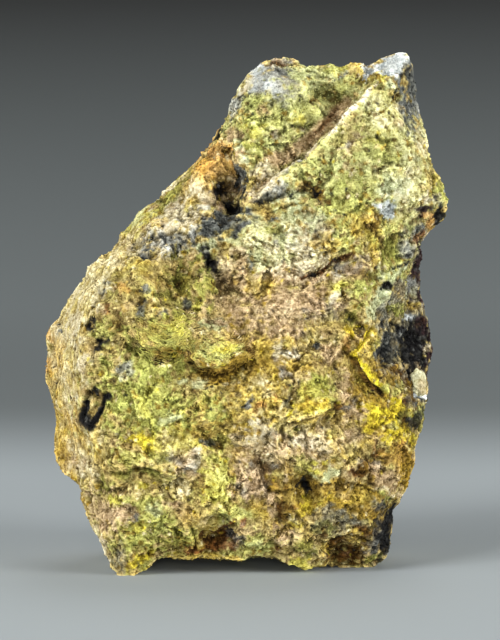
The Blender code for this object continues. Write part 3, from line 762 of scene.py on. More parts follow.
    (C.STONE, -7.0, 36.4, 0.4, 0.3, 0, 0.6),
    (C.STONE, -10.1, 33.5, 1.4, 0.6, 8, 0.95),
    (C.STONE, -7.6, 33.6, 1.0, 1.0, 30, 0.75),
    (C.BUFF, -9.1, 32.8, 0.5, 0.9, 0, 0.8),
    (C.ASH, -5.6, 34.2, 0.6, 1.0, 0, 0.8),
    (C.VIVID, -11.1, 36.0, 2.3, 0.9, 42, 0.8),
    (C.MINT, -11.3, 36.2, 2.1, 0.7, 42, 1.0),
    (C.MOSS, -7.8, 38.8, 0.9, 2.0, -42, 0.8),
    (C.PALE, -4.1, 33.2, 1.4, 0.6, 0, 0.9),
    (C.PEACH, -2.1, 31.3, 0.9, 1.1, 0, 0.8),
    (C.TAR, -4.5, 32.2, 0.6, 0.9, 0, 1.0),
    (C.TAR, -4.0, 31.4, 0.9, 0.8, 15, 1.0),
    # left dome and its hollows
    (C.TAWNY, -12.0, 28.5, 4.6, 4.5, 0, 1.0),
    (C.MOSS, -12.0, 28.5, 4.0, 4.0, 0, 0.2),
    (C.MOSS, -6.8, 30.0, 1.4, 2.3, -8, 0.95),
    (C.BARK, -6.3, 30.6, 0.9, 1.2, 0, 0.4),
    (C.GOLD, -7.2, 28.4, 0.8, 0.8, 0, 0.5),
    (C.BARK, -7.7, 30.8, 0.5, 0.5, 0, 0.7),
    (C.BARK, -2.8, 29.0, 1.2, 1.5, -20, 0.5),
    (C.MOSS, -4.6, 28.6, 0.9, 1.8, 0, 0.9),
    (C.VIVID, -5.0, 27.4, 0.5, 0.6, 0, 0.6),
    (C.ROSE, -0.9, 30.8, 0.8, 2.4, 0, 0.75),
    (C.MOSS, -8.4, 27.6, 1.9, 1.8, 0, 0.6),
    (C.STONE, -15.1, 29.1, 0.8, 1.0, -20, 1.0),
    (C.STONE, -14.3, 29.7, 0.6, 0.4, 0, 0.6),
    (C.STONE, -10.8, 28.8, 0.45, 0.4, 0, 0.75),
    (C.STONE, -11.0, 27.0, 0.5, 0.5, 0, 0.75),
    (C.STONE, -8.8, 26.1, 0.6, 0.35, 0, 0.75),
    (C.STONE, -6.6, 27.6, 0.6, 0.7, 0, 0.75),
    (C.STONE, -10.7, 32.4, 0.7, 0.5, 0, 1.0),
    (C.STONE, -12.4, 32.4, 0.6, 0.5, 0, 0.6),
    (C.RED, -14.6, 26.9, 0.7, 0.6, 30, 0.85),
    (C.ORANGE, -12.9, 28.8, 0.9, 0.6, -30, 0.6),
    (C.BARK, -13.2, 25.2, 0.9, 1.0, 0, 0.85),
    (C.FIELD, -14.6, 24.8, 0.9, 0.9, 0, 0.7),
    (C.GOLD, -11.8, 30.8, 1.8, 0.8, 10, 0.6),
    (C.TAR, -16.2, 25.5, 0.6, 0.45, 0, 1.0),
    (C.TAR, -15.8, 26.0, 0.4, 0.3, 0, 1.0),
    (C.TAR, -15.0, 23.8, 0.6, 0.4, 10, 1.0),
    (C.TAR, -15.6, 23.2, 0.5, 0.35, -20, 1.0),
    (C.STONE, -15.2, 22.4, 0.35, 0.25, 0, 0.9),
    (C.TAWNY, -15.0, 21.2, 1.2, 1.4, 0, 0.8),
    # left flank
    (C.BLEACHED, -17.4, 28.8, 2.6, 3.6, -40, 0.95),
    (C.BLEACHED, -14.2, 31.8, 2.6, 0.9, 30, 0.9),
    (C.BLEACHED, -18.6, 23.2, 2.1, 4.2, 0, 1.0),
    (C.HONEY, -19.4, 22.6, 0.8, 3.2, 0, 0.9),
    (C.BUFF, -17.6, 25.2, 0.8, 1.4, 0, 0.7),
    (C.BUFF, -16.9, 21.6, 0.4, 2.0, 0, 0.7),
    (C.ORANGE, -20.3, 24.4, 0.4, 0.9, 0, 0.8),
    (C.ORANGE, -20.3, 21.0, 0.4, 0.9, 0, 0.8),
    (C.STONE, -19.0, 25.1, 0.25, 0.5, -15, 0.8),
    (C.HONEY, -18.2, 15.0, 2.0, 4.8, 0, 1.0),
    (C.BLEACHED, -17.8, 18.4, 1.4, 2.2, 0, 0.7),
    (C.GOLD, -18.8, 14.0, 0.9, 3.4, 0, 0.5),
    (C.HONEY, -18.0, 11.2, 1.4, 1.6, -20, 0.7),
    (C.BLEACHED, -16.4, 11.8, 1.0, 3.2, 0, 0.85),
    (C.BARK, -16.2, 15.5, 0.8, 0.8, 0, 0.7),
    (C.ROSE, -17.3, 11.6, 0.7, 0.7, 0, 0.5),
    (C.BLEACHED, -15.4, 13.4, 0.7, 2.6, 0, 0.8),
    # fibrous lips and the green-yellow field
    (C.FIELD, -10.0, 18.2, 5.2, 4.6, 0, 0.95),
    (C.MOSS, -6.4, 25.6, 1.5, 0.9, 0, 0.95),
    (C.FIELD, -8.2, 24.0, 3.4, 1.5, -6, 0.9),
    (C.DEEP, -8.2, 23.8, 3.0, 1.2, -6, 0.35),
    (C.VIVID, -7.2, 25.2, 1.2, 0.6, -20, 0.5),
    (C.LEAF, -8.9, 23.7, 1.4, 0.4, 0, 0.5),
    (C.LEAF, -3.2, 22.8, 2.6, 1.0, 10, 0.9),
    (C.VIVID, -2.4, 23.3, 1.2, 0.5, 8, 0.7),
    # painted shadow in the hollow under the first lip, over its groove
    (C.MOSS, -7.4, 21.9, 1.4, 0.7, 0, 0.9),
    (C.MOSS, -10.6, 22.4, 0.9, 0.4, -30, 0.7),
    # painted shadow under the second lip
    (C.DEEP, -2.9, 20.5, 2.4, 0.5, 8, 0.9),
    (C.PALE, -3.6, 25.3, 1.4, 0.7, 0, 0.6),
    (C.ASH, -12.5, 20.6, 0.9, 0.8, 0, 0.6),
    (C.TAWNY, -5.8, 18.9, 2.4, 1.3, -10, 0.7),
    (C.PALE, -5.4, 19.4, 1.4, 0.5, -12, 0.6),
    (C.FIELD, -3.4, 16.9, 1.2, 1.1, 0, 0.8),
    (C.VIVID, -10.4, 17.2, 0.8, 1.8, 0, 0.5),
    (C.VIVID, -9.6, 19.8, 0.9, 0.5, 0, 0.5),
    (C.BARK, -9.2, 16.4, 0.5, 0.4, 0, 0.6),
    (C.VIVID, -6.6, 16.5, 0.9, 0.25, 30, 0.8),
    (C.MOSS, -6.9, 15.8, 0.9, 0.3, 15, 0.8),
    (C.LEMON, -10.8, 13.6, 1.6, 1.0, -15, 0.8),
    (C.VIVID, -8.1, 13.2, 1.4, 1.1, 0, 0.8),
    (C.BLEACHED, -7.6, 13.2, 1.6, 1.1, 0, 0.45),
    (C.BLEACHED, -8.5, 13.7, 0.6, 0.5, 0, 0.5),
    (C.PALE, -8.1, 15.6, 1.0, 0.8, 0, 0.6),
    (C.LEAF, -12.0, 11.8, 1.4, 0.6, 0, 0.6),
    (C.LEAF, -8.8, 11.6, 1.2, 0.7, -20, 0.6),
    # lower left
    (C.FIELD, -10.5, 5.8, 5.0, 3.4, 20, 0.9),
    # olive crust that stands for the shadow line under the ledge: painted shadow
    (C.MOSS, -11.4, 10.4, 2.8, 0.6, -4, 0.8),
    (C.TAWNY, -10.4, 9.2, 2.4, 0.9, 0, 0.7),
    (C.TAWNY, -15.0, 11.6, 0.9, 1.6, 0, 0.7),
    (C.MOSS, -14.8, 9.2, 0.8, 0.9, 0, 0.75),
    (C.BARK, -13.0, 8.8, 0.8, 0.35, 10, 0.85),
    (C.ROSE, -15.0, 6.6, 1.3, 2.6, 12, 0.85),
    (C.ROSE, -13.2, 5.9, 1.5, 1.3, 0, 0.9),
    (C.VIVID, -13.1, 7.5, 0.6, 0.6, 0, 0.95),
    (C.BLEACHED, -11.0, 8.6, 0.3, 0.25, 0, 0.8),
    (C.VIVID, -10.6, 8.9, 0.5, 0.3, 0, 0.8),
    (C.STONE, -11.8, 6.2, 0.5, 0.5, 0, 0.75),
    (C.VIVID, -11.0, 5.0, 0.9, 0.9, 20, 0.7),
    (C.VIVID, -12.6, 4.6, 0.5, 0.4, 0, 0.8),
    (C.PALE, -9.4, 6.8, 0.8, 0.9, 0, 0.5),
    (C.TAWNY, -6.9, 6.8, 1.9, 1.6, 0, 0.8),
    (C.ROSE, -7.4, 7.3, 0.9, 0.6, 0, 0.6),
    (C.BLEACHED, -7.2, 8.9, 1.0, 0.6, 15, 0.9),
    (C.MAUVE, -6.8, 11.6, 1.6, 1.1, -20, 0.6),
    (C.BUFF, -5.4, 11.4, 0.6, 1.0, 0, 0.7),
    (C.MOSS, -7.2, 3.7, 1.9, 0.9, 8, 0.75),
    (C.MOSS, -10.8, 1.4, 1.6, 0.8, 28, 0.8),
    (C.LEMON, -11.2, 1.6, 1.5, 0.5, 30, 0.6),
    (C.HOST, -13.4, 2.0, 0.9, 1.5, 0, 0.85),
    (C.BUFF, -15.1, 3.6, 0.5, 1.4, 20, 0.6),
    # lower middle
    (C.ROSE, -0.4, 10.0, 2.3, 2.4, 0, 0.95),
    (C.LEAF, -3.3, 9.6, 1.3, 2.9, 0, 0.9),
    (C.VIVID, -3.3, 9.6, 1.3, 2.7, 0, 0.5),
    (C.LEAF, -1.5, 6.2, 1.8, 1.0, -25, 0.9),
    (C.VIVID, -3.9, 7.8, 1.0, 0.9, 0, 0.7),
    (C.TAWNY, -4.6, 5.8, 1.4, 0.9, 40, 0.6),
    (C.RED, -2.6, 4.2, 2.0, 1.3, 35, 1.0),
    (C.BARK, -3.4, 4.4, 0.8, 0.9, 0, 0.5),
    (C.RED, -4.8, 2.9, 2.0, 0.6, 12, 1.0),
    (C.MAUVE, -0.9, 3.9, 0.8, 0.9, 0, 0.7),
    (C.STONE, -1.8, 4.6, 0.8, 0.6, 0, 0.5),
    (C.STONE, -4.0, 13.4, 0.8, 0.5, 15, 0.85),
    (C.MOSS, -2.4, 13.8, 1.2, 1.1, 0, 0.6),
    (C.MAUVE, -1.2, 14.2, 0.8, 0.8, 0, 0.5),
    (C.BARK, -4.7, 14.2, 0.5, 0.4, 0, 0.7),
    (C.BUFF, 0.9, 14.8, 1.6, 1.0, 0, 1.0),
    (C.ROSE, 4.6, 12.9, 2.3, 1.3, -5, 0.85),
    (C.PEACH, 7.6, 13.6, 1.8, 1.9, 0, 0.9),
    (C.GOLD, 8.7, 13.5, 0.6, 1.4, 0, 0.6),
    (C.BUFF, 5.4, 13.6, 1.0, 0.9, 0, 0.8),
    (C.MAUVE, 0.6, 9.6, 1.5, 2.0, 0, 0.7),
    (C.BARK, 1.3, 10.4, 0.5, 1.4, 12, 0.8),
    (C.BARK, 2.4, 8.4, 1.2, 0.3, 5, 0.7),
    (C.ORANGE, 2.9, 9.5, 0.7, 0.4, 0, 0.7),
    (C.MOSS, 5.4, 11.2, 1.2, 1.1, 0, 0.7),
    (C.VIVID, 6.2, 11.2, 0.5, 0.4, 0, 0.9),
    (C.VIVID, 7.6, 11.8, 0.35, 0.3, 0, 0.8),
    (C.PALE, 8.1, 10.4, 1.3, 0.4, -8, 0.8),
    (C.BARK, 5.4, 9.5, 3.0, 1.0, 0, 0.35),
    (C.GOLD, 6.2, 7.7, 3.0, 1.0, 0, 0.7),
    (C.LEMON, 8.4, 7.4, 2.4, 0.7, -8, 0.45),
    (C.LEMON, 5.2, 7.2, 1.2, 0.6, 0, 0.6),
    (C.DEEP, 8.9, 6.9, 1.2, 1.0, 0, 0.8),
    (C.VIVID, 6.7, 7.4, 0.7, 0.3, 0, 0.7),
    (C.TAR, 5.5, 9.2, 0.6, 0.45, 0, 1.0),
    (C.GOLD, 0.9, 6.2, 1.1, 1.6, 0, 0.7),
    (C.ROSE, 2.6, 7.0, 0.8, 1.3, 0, 0.9),
    (C.BARK, 3.3, 6.6, 0.6, 1.2, -20, 1.0),
    (C.BARK, 4.0, 5.4, 1.0, 0.8, 0, 0.35),
    (C.LEMON, 4.8, 5.5, 0.6, 0.5, 0, 0.5),
    (C.HOST, 8.0, 5.5, 2.6, 1.2, -6, 0.85),
    (C.MOSS, 7.0, 5.2, 1.2, 0.6, 0, 0.5),
    (C.BARK, 7.2, 4.7, 0.4, 0.3, 0, 0.8),
    (C.ROSE, 3.6, 4.3, 1.0, 0.8, 0, 0.85),
    (C.RED, 2.9, 2.9, 0.5, 0.4, 0, 0.8),
    (C.LEAF, 1.0, 3.4, 1.3, 1.1, 0, 0.8),
    (C.MOSS, 5.6, 3.2, 1.6, 0.9, -20, 0.75),
    (C.VIVID, 5.2, 1.4, 1.4, 0.5, -20, 0.8),
    # middle
    (C.ROSE, 3.4, 27.0, 5.0, 3.2, 15, 0.95),
    (C.PEACH, 3.0, 26.3, 1.9, 1.0, 0, 0.9),
    (C.GOLD, 1.2, 28.8, 1.6, 0.8, -10, 0.6),
    (C.MAUVE, 5.0, 24.8, 1.2, 0.6, 15, 0.7),
    (C.BUFF, 8.6, 28.0, 1.2, 0.6, 15, 0.8),
    (C.MAUVE, 7.4, 26.6, 1.9, 1.1, 10, 0.7),
    (C.FIELD, 10.9, 28.4, 1.5, 1.2, 0, 0.9),
    (C.VIVID, 9.3, 29.3, 0.7, 0.5, 10, 0.7),
    (C.PALE, 12.8, 27.8, 0.6, 2.0, -25, 0.8),
    (C.MOSS, 10.2, 26.2, 0.9, 0.8, -20, 0.7),
    (C.TAR, 10.3, 25.9, 0.25, 0.2, 0, 0.9),
    (C.TAR, 11.1, 25.1, 0.3, 0.25, 0, 0.9),
    (C.LEMON, 10.3, 24.9, 0.9, 0.45, 20, 1.0),
    (C.RED, 9.7, 23.3, 0.9, 0.8, 45, 0.8),
    (C.ORANGE, 10.2, 23.9, 0.7, 0.6, 45, 0.8),
    (C.ROSE, 8.2, 22.4, 1.3, 0.9, 0, 0.8),
    (C.TAWNY, 7.2, 24.6, 1.8, 1.4, 0, 0.6),
    (C.STONE, 6.6, 23.2, 0.45, 0.35, 0, 0.8),
    (C.GOLD, 2.6, 22.6, 2.6, 1.5, 0, 0.8),
    (C.BUFF, 3.8, 22.6, 1.2, 0.9, 0, 1.0),
    (C.BARK, 0.2, 22.9, 0.5, 0.6, 0, 0.85),
    (C.GOLD, 1.2, 18.6, 2.1, 2.2, 10, 0.9),
    (C.BLEACHED, 1.0, 19.2, 1.2, 1.3, 0, 0.6),
    (C.ORANGE, 2.1, 18.3, 0.4, 0.8, 15, 0.8),
    (C.ORANGE, 0.6, 16.7, 0.7, 0.4, 0, 0.75),
    (C.STONE, -0.1, 17.6, 0.5, 0.35, 0, 0.85),
    (C.MAUVE, 3.5, 20.6, 0.4, 1.2, 40, 0.85),
    (C.TAR, 4.5, 19.7, 0.25, 0.35, 0, 0.7),
    (C.HOST, 4.0, 17.4, 0.6, 1.2, 0, 0.5),
    (C.FIELD, 6.4, 18.4, 2.0, 2.1, 0, 0.9),
    (C.LEMON, 6.4, 18.6, 1.6, 1.4, 0, 0.35),
    (C.LEMON, 6.0, 17.2, 1.7, 0.8, 20, 0.8),
    (C.MOSS, 7.2, 19.6, 1.0, 0.3, 0, 0.6),
    (C.ROSE, 9.6, 19.2, 1.0, 1.4, 0, 0.8),
    (C.BARK, 8.6, 17.5, 0.8, 0.5, 0, 1.0),
    (C.STONE, 9.5, 17.2, 0.4, 0.35, 0, 0.85),
    (C.MAUVE, 10.6, 16.6, 1.2, 1.2, 0, 0.7),
    (C.MAUVE, 10.4, 14.4, 0.8, 1.1, 0, 0.6),
    (C.MOSS, 4.6, 14.6, 0.45, 0.35, 0, 0.9),
    (C.BLEACHED, 5.4, 14.9, 0.6, 0.5, 0, 0.9),
    (C.BARK, 3.4, 14.6, 0.6, 0.25, 10, 0.6),
    # lower right
    (C.LEMON, 12.8, 16.1, 1.9, 1.6, 10, 0.95),
    (C.DEEP, 13.2, 17.7, 1.8, 0.8, 0, 1.0),
    (C.MOSS, 12.6, 18.9, 1.8, 0.9, -25, 0.8),
    (C.GOLD, 11.6, 19.0, 0.8, 0.6, 0, 0.6),
    (C.LEMON, 14.9, 14.4, 1.7, 0.9, -10, 0.9),
    (C.LEMON, 14.7, 17.1, 1.0, 0.9, 0, 1.0),
    (C.MOSS, 16.2, 16.0, 1.2, 0.5, 0, 0.9),
    (C.FIELD, 16.6, 16.5, 0.5, 0.4, 0, 0.8),
    (C.BARK, 15.8, 15.5, 1.0, 0.8, -10, 0.6),
    (C.SOOT, 16.6, 15.8, 0.6, 0.8, 0, 0.6),
    (C.HOST, 16.2, 18.0, 0.9, 1.0, 0, 0.9),
    (C.ORANGE, 14.8, 12.0, 1.6, 1.6, 0, 0.85),
    (C.DEEP, 14.6, 12.0, 1.4, 1.4, 0, 0.4),
    (C.DEEP, 15.4, 10.4, 0.9, 1.6, 0, 1.0),
    (C.RED, 12.7, 13.2, 0.35, 1.0, 0, 0.7),
    (C.GOLD, 11.8, 13.4, 0.9, 0.4, 0, 0.6),
    (C.ROSE, 13.2, 9.9, 1.4, 1.2, 0, 0.9),
    (C.MAUVE, 11.1, 11.0, 1.2, 1.1, 0, 0.8),
    (C.BARK, 11.2, 10.5, 1.3, 1.2, 0, 1.0),
    (C.BARK, 13.2, 9.9, 1.2, 1.0, 0, 0.3),
    (C.BARK, 12.3, 11.9, 1.2, 0.25, -8, 0.8),
    (C.MAUVE, 12.6, 11.3, 0.8, 0.6, 0, 0.9),
    (C.BUFF, 13.4, 8.5, 1.4, 0.25, -8, 0.6),
    (C.STONE, 13.0, 7.2, 0.8, 0.6, 0, 0.65),
    (C.FIELD, 13.9, 7.9, 0.6, 0.35, 0, 0.8),
    (C.PEACH, 14.9, 7.9, 0.4, 0.4, 0, 0.8),
    (C.GOLD, 11.2, 7.6, 1.2, 0.9, 0, 0.5),
    (C.HOST, 11.4, 5.0, 1.4, 0.9, 20, 0.85),
    (C.BARK, 11.5, 4.6, 1.2, 0.7, 20, 0.9),
    (C.MOSS, 12.2, 5.8, 0.8, 0.8, 0, 0.5),
    # dark brown that partly stands for the shade in the low recess at the bottom right: painted shade
    (C.BARK, 9.6, 2.6, 2.2, 1.3, 0, 1.0),
    (C.RED, 9.5, 2.2, 0.9, 0.5, 0, 0.6),
    (C.GOLD, 10.9, 3.9, 0.6, 0.3, 0, 0.6),
    (C.GOLD, 7.6, 2.7, 0.5, 0.8, 0, 0.6),
    (C.STONE, 12.3, 3.2, 1.0, 0.6, 38, 0.7),
    (C.BARK, 12.2, 4.4, 1.0, 2.0, -14, 0.7),
    (C.STONE, 12.8, 4.8, 0.8, 2.2, -14, 0.6),
    (C.SOOT, 13.4, 3.7, 0.85, 2.4, -6, 1.0),
    (C.SOOT, 14.0, 5.8, 0.5, 1.6, -8, 0.9),
    (C.MOSS, 12.8, 1.8, 0.7, 0.5, 0, 0.8),
    # right side
    (C.GOLD, 11.9, 22.6, 1.0, 2.0, -15, 0.95),
    (C.MOSS, 12.4, 23.4, 0.4, 1.2, 0, 0.5),
    (C.STONE, 13.6, 23.3, 0.9, 1.4, -10, 0.9),
    (C.STONE, 13.6, 23.2, 1.2, 2.0, -10, 1.0),
    (C.SOOT, 13.6, 23.2, 1.0, 1.7, -10, 0.95),
    (C.HOST, 14.9, 22.8, 0.9, 2.8, 0, 0.9),
    (C.STONE, 14.9, 23.6, 0.5, 1.4, 0, 0.5),
    (C.HOST, 14.4, 20.9, 1.1, 1.0, 0, 0.95),
    (C.BARK, 14.5, 20.8, 0.9, 0.9, 0, 1.0),
    (C.FIELD, 14.8, 19.0, 1.0, 0.8, 0, 0.6),
    (C.BARK, 15.9, 19.0, 0.7, 1.5, 0, 0.95),
    (C.SOOT, 16.6, 23.6, 1.8, 2.6, -5, 1.0),
    (C.TAR, 16.4, 24.1, 1.6, 1.2, -20, 1.0),
    (C.TAR, 16.9, 22.6, 1.2, 2.2, 0, 1.0),
    (C.DUSK, 17.9, 22.0, 0.6, 2.8, 0, 1.0),
    (C.DUSK, 17.2, 25.4, 0.7, 0.6, 0, 0.9),
    (C.RED, 17.3, 25.4, 0.3, 0.3, 0, 0.5),
    (C.BUFF, 17.75, 23.2, 0.15, 0.3, 0, 0.9),
    (C.WHITE, 15.8, 26.0, 0.7, 0.25, 10, 0.6),
    (C.HOST, 14.4, 27.6, 1.2, 1.4, 0, 0.8),
    (C.MOSS, 14.9, 27.3, 0.8, 0.7, 0, 0.8),
    (C.GOLD, 16.3, 27.1, 0.8, 0.5, 10, 0.85),
    (C.PALE, 15.7, 28.6, 0.6, 0.35, 0, 0.95),
    (C.DUSK, 14.8, 29.2, 0.7, 0.5, 30, 0.6),
    (C.HOST, 15.7, 29.2, 1.1, 1.7, 0, 0.7),
    (C.DUSK, 16.8, 30.0, 0.6, 3.4, 0, 0.95),
    (C.ASH, 16.0, 29.4, 0.5, 0.8, 0, 0.6),
    (C.TAR, 13.7, 29.1, 0.35, 0.3, 0, 1.0),
    (C.PALE, 13.6, 30.6, 0.9, 0.4, 30, 0.6),
    (C.FIELD, 15.2, 30.4, 0.9, 0.6, 30, 0.6),
    (C.STONE, 16.7, 17.5, 0.6, 0.3, -20, 0.9),
)

# Streaks on the front, each (crust, line, half width, strength).
STREAKS = (
    (C.ROSE, ((9.7, 47.6), (8.5, 46.3), (7.1, 44.9), (5.7, 43.6), (4.2, 42.6), (2.6, 41.7)), 0.7, 0.9),
    (C.RED, ((8.7, 47.0), (7.4, 45.3), (6.0, 43.8)), 0.22, 0.7),
    # painted shadow under the second lip
    (C.BARK, ((-6.0, 21.5), (-4.8, 20.8), (-2.8, 20.6), (-0.6, 21.4)), 0.3, 0.7),
    (C.PALE, ((15.4, 31.4), (14.4, 30.0), (13.4, 28.6), (12.7, 27.2), (12.3, 26.0)), 0.28, 0.85),
    (C.BUFF, ((12.6, 49.3), (11.8, 48.4), (10.4, 47.1), (9.0, 45.7), (8.0, 44.4), (6.6, 43.0), (5.4, 41.9),
              (4.2, 41.0), (3.0, 40.1)), 0.19, 1.0),
    (C.BUFF, ((3.2, 40.2), (2.2, 39.3), (1.0, 38.4), (0.2, 37.9)), 0.28, 0.8),
    (C.RED, ((5.2, 30.0), (6.1, 30.2), (6.8, 30.4), (8.2, 31.6), (9.4, 32.1), (10.3, 32.4)), 0.18, 0.9),
    (C.TAR, ((5.8, 30.1), (6.5, 30.35)), 0.1, 0.9),
    (C.TAR, ((8.2, 31.6), (8.8, 31.9)), 0.1, 0.8),
    (C.TAR, ((17.0, 33.2), (16.2, 32.7), (15.5, 32.2)), 0.08, 0.6),
    (C.TAR, ((15.8, 31.7), (15.0, 31.2), (14.2, 30.9)), 0.08, 0.6),
    (C.BARK, ((-16.6, 18.6), (-15.8, 18.5), (-15.0, 18.2)), 0.5, 0.7),
    (C.TAR, ((-16.5, 17.4), (-16.7, 16.5), (-16.5, 15.6), (-16.0, 15.1), (-15.6, 15.7), (-15.2, 16.8),
             (-14.8, 17.8), (-14.2, 18.1)), 0.3, 1.0),
    (C.TAR, ((-16.2, 15.9), (-15.9, 15.3)), 0.45, 1.0),
    (C.TAR, ((-16.1, 18.6), (-15.6, 18.9), (-15.2, 18.2)), 0.2, 0.8),
    (C.BARK, ((0.0, 34.1), (0.9, 33.7), (1.6, 33.4)), 0.12, 0.7),
    (C.BARK, ((12.2, 35.3), (12.5, 34.5), (13.4, 33.5), (13.3, 30.8)), 0.2, 0.6),
    (C.BARK, ((8.3, 17.0), (7.0, 16.2), (5.5, 15.7), (4.0, 15.4)), 0.14, 0.7),
    (C.BARK, ((10.4, 21.8), (11.2, 20.6), (12.1, 19.2), (13.2, 18.2)), 0.3, 0.95),
    (C.LEMON, ((13.0, 19.4), (11.8, 20.6), (10.6, 22.2), (11.1, 23.3), (12.0, 24.6)), 0.3, 1.0),
    (C.BLEACHED, ((-8.9, 38.4), (-7.6, 39.5), (-6.6, 40.4)), 0.22, 0.95),
    (C.GOLD, ((-8.0, 2.3), (-5.5, 2.2), (-3.0, 2.1), (-1.0, 1.7)), 0.22, 0.9),
    (C.WHITE, ((17.3, 17.9), (16.6, 18.2)), 0.16, 0.9),
    (C.TAR, ((15.2, 50.2), (16.1, 51.0)), 0.16, 0.8),
    (C.TAR, ((13.5, 29.2), (13.9, 29.0)), 0.35, 1.0),
    (C.TAR, ((-0.9, 38.0), (-0.4, 38.9)), 0.16, 0.9),
    (C.TAR, ((-1.3, 48.0), (-0.7, 48.5)), 0.14, 0.9),
)

# Hollows and bumps on the front, each (across, up, half width, half height, turn, depth).
DENTS = (
    (8.1, 48.1, 1.3, 0.7, -20, 0.25),
    (14.8, 48.0, 0.3, 0.7, -35, 0.3),
    (6.5, 38.3, 0.8, 0.25, -12, 0.25),
    (-1.5, 36.9, 0.9, 0.7, 20, 0.25),
    (-1.1, 38.8, 0.5, 0.7, 0, 0.2),
    (-4.1, 31.7, 0.9, 1.0, 0, 0.35),
    (-7.0, 30.0, 1.0, 1.9, -8, 0.35),
    (-2.8, 29.0, 1.0, 1.3, -20, 0.05),
    (-2.3, 40.0, 1.2, 2.4, -12, -0.95),
    (-3.2, 6.1, 2.0, 0.5, 10, 0.3),
    (-3.2, 5.0, 1.9, 0.9, 15, -0.35),
    (-15.9, 17.2, 1.2, 1.9, -12, 0.35),
    (-15.9, 17.3, 0.4, 0.8, -12, -0.35),
    (-16.3, 25.4, 0.5, 0.4, 0, 0.25),
    (-15.2, 23.7, 0.6, 0.35, 10, 0.25),
    (-13.0, 8.8, 0.9, 0.4, 10, 0.3),
    (5.5, 9.2, 0.6, 0.45, 0, 0.35),
    (6.8, 9.0, 1.8, 0.9, 0, -0.25),
    (10.0, 2.9, 2.2, 0.9, 0, -0.2),
    (0.2, 22.9, 0.6, 0.6, 0, 0.3),
    (13.7, 29.1, 0.5, 0.4, 10, 0.5),
    (13.6, 23.3, 0.9, 1.3, -10, 0.3),
    (16.3, 24.0, 1.2, 0.9, -20, 0.3),
    (8.6, 17.5, 0.6, 0.4, 0, 0.3),
    (4.6, 14.6, 0.5, 0.4, 0, 0.25),
    (1.6, 44.8, 1.5, 1.2, 0, -0.25),
    (6.3, 38.4, 1.6, 1.0, -12, -0.25),
    (4.9, 46.2, 1.4, 0.9, 10, -0.25),
    (6.7, 46.8, 0.9, 1.0, 10, -0.2),
    (2.2, 49.7, 2.2, 1.2, -8, -0.35),
    (13.6, 46.0, 2.4, 1.6, -25, -0.25),
    (15.6, 39.2, 1.7, 1.5, 0, -0.25),
    (0.6, 34.4, 2.0, 1.6, -15, -0.3),
    (-10.6, 13.6, 1.5, 0.9, -15, -0.25),
    (-13.2, 6.0, 1.4, 1.2, 0, -0.25),
    (6.2, 18.0, 1.9, 1.8, 0, -0.3),
    (12.8, 16.1, 1.6, 1.3, 10, -0.3),
    (-3.6, 10.0, 1.0, 1.8, 0, -0.2),
    (18.0, 35.9, 0.7, 0.8, 0, -0.2),
    (-8.2, 24.4, 2.6, 1.3, -6, -0.35),
    (-3.0, 22.7, 2.2, 0.9, 8, -0.15),
)

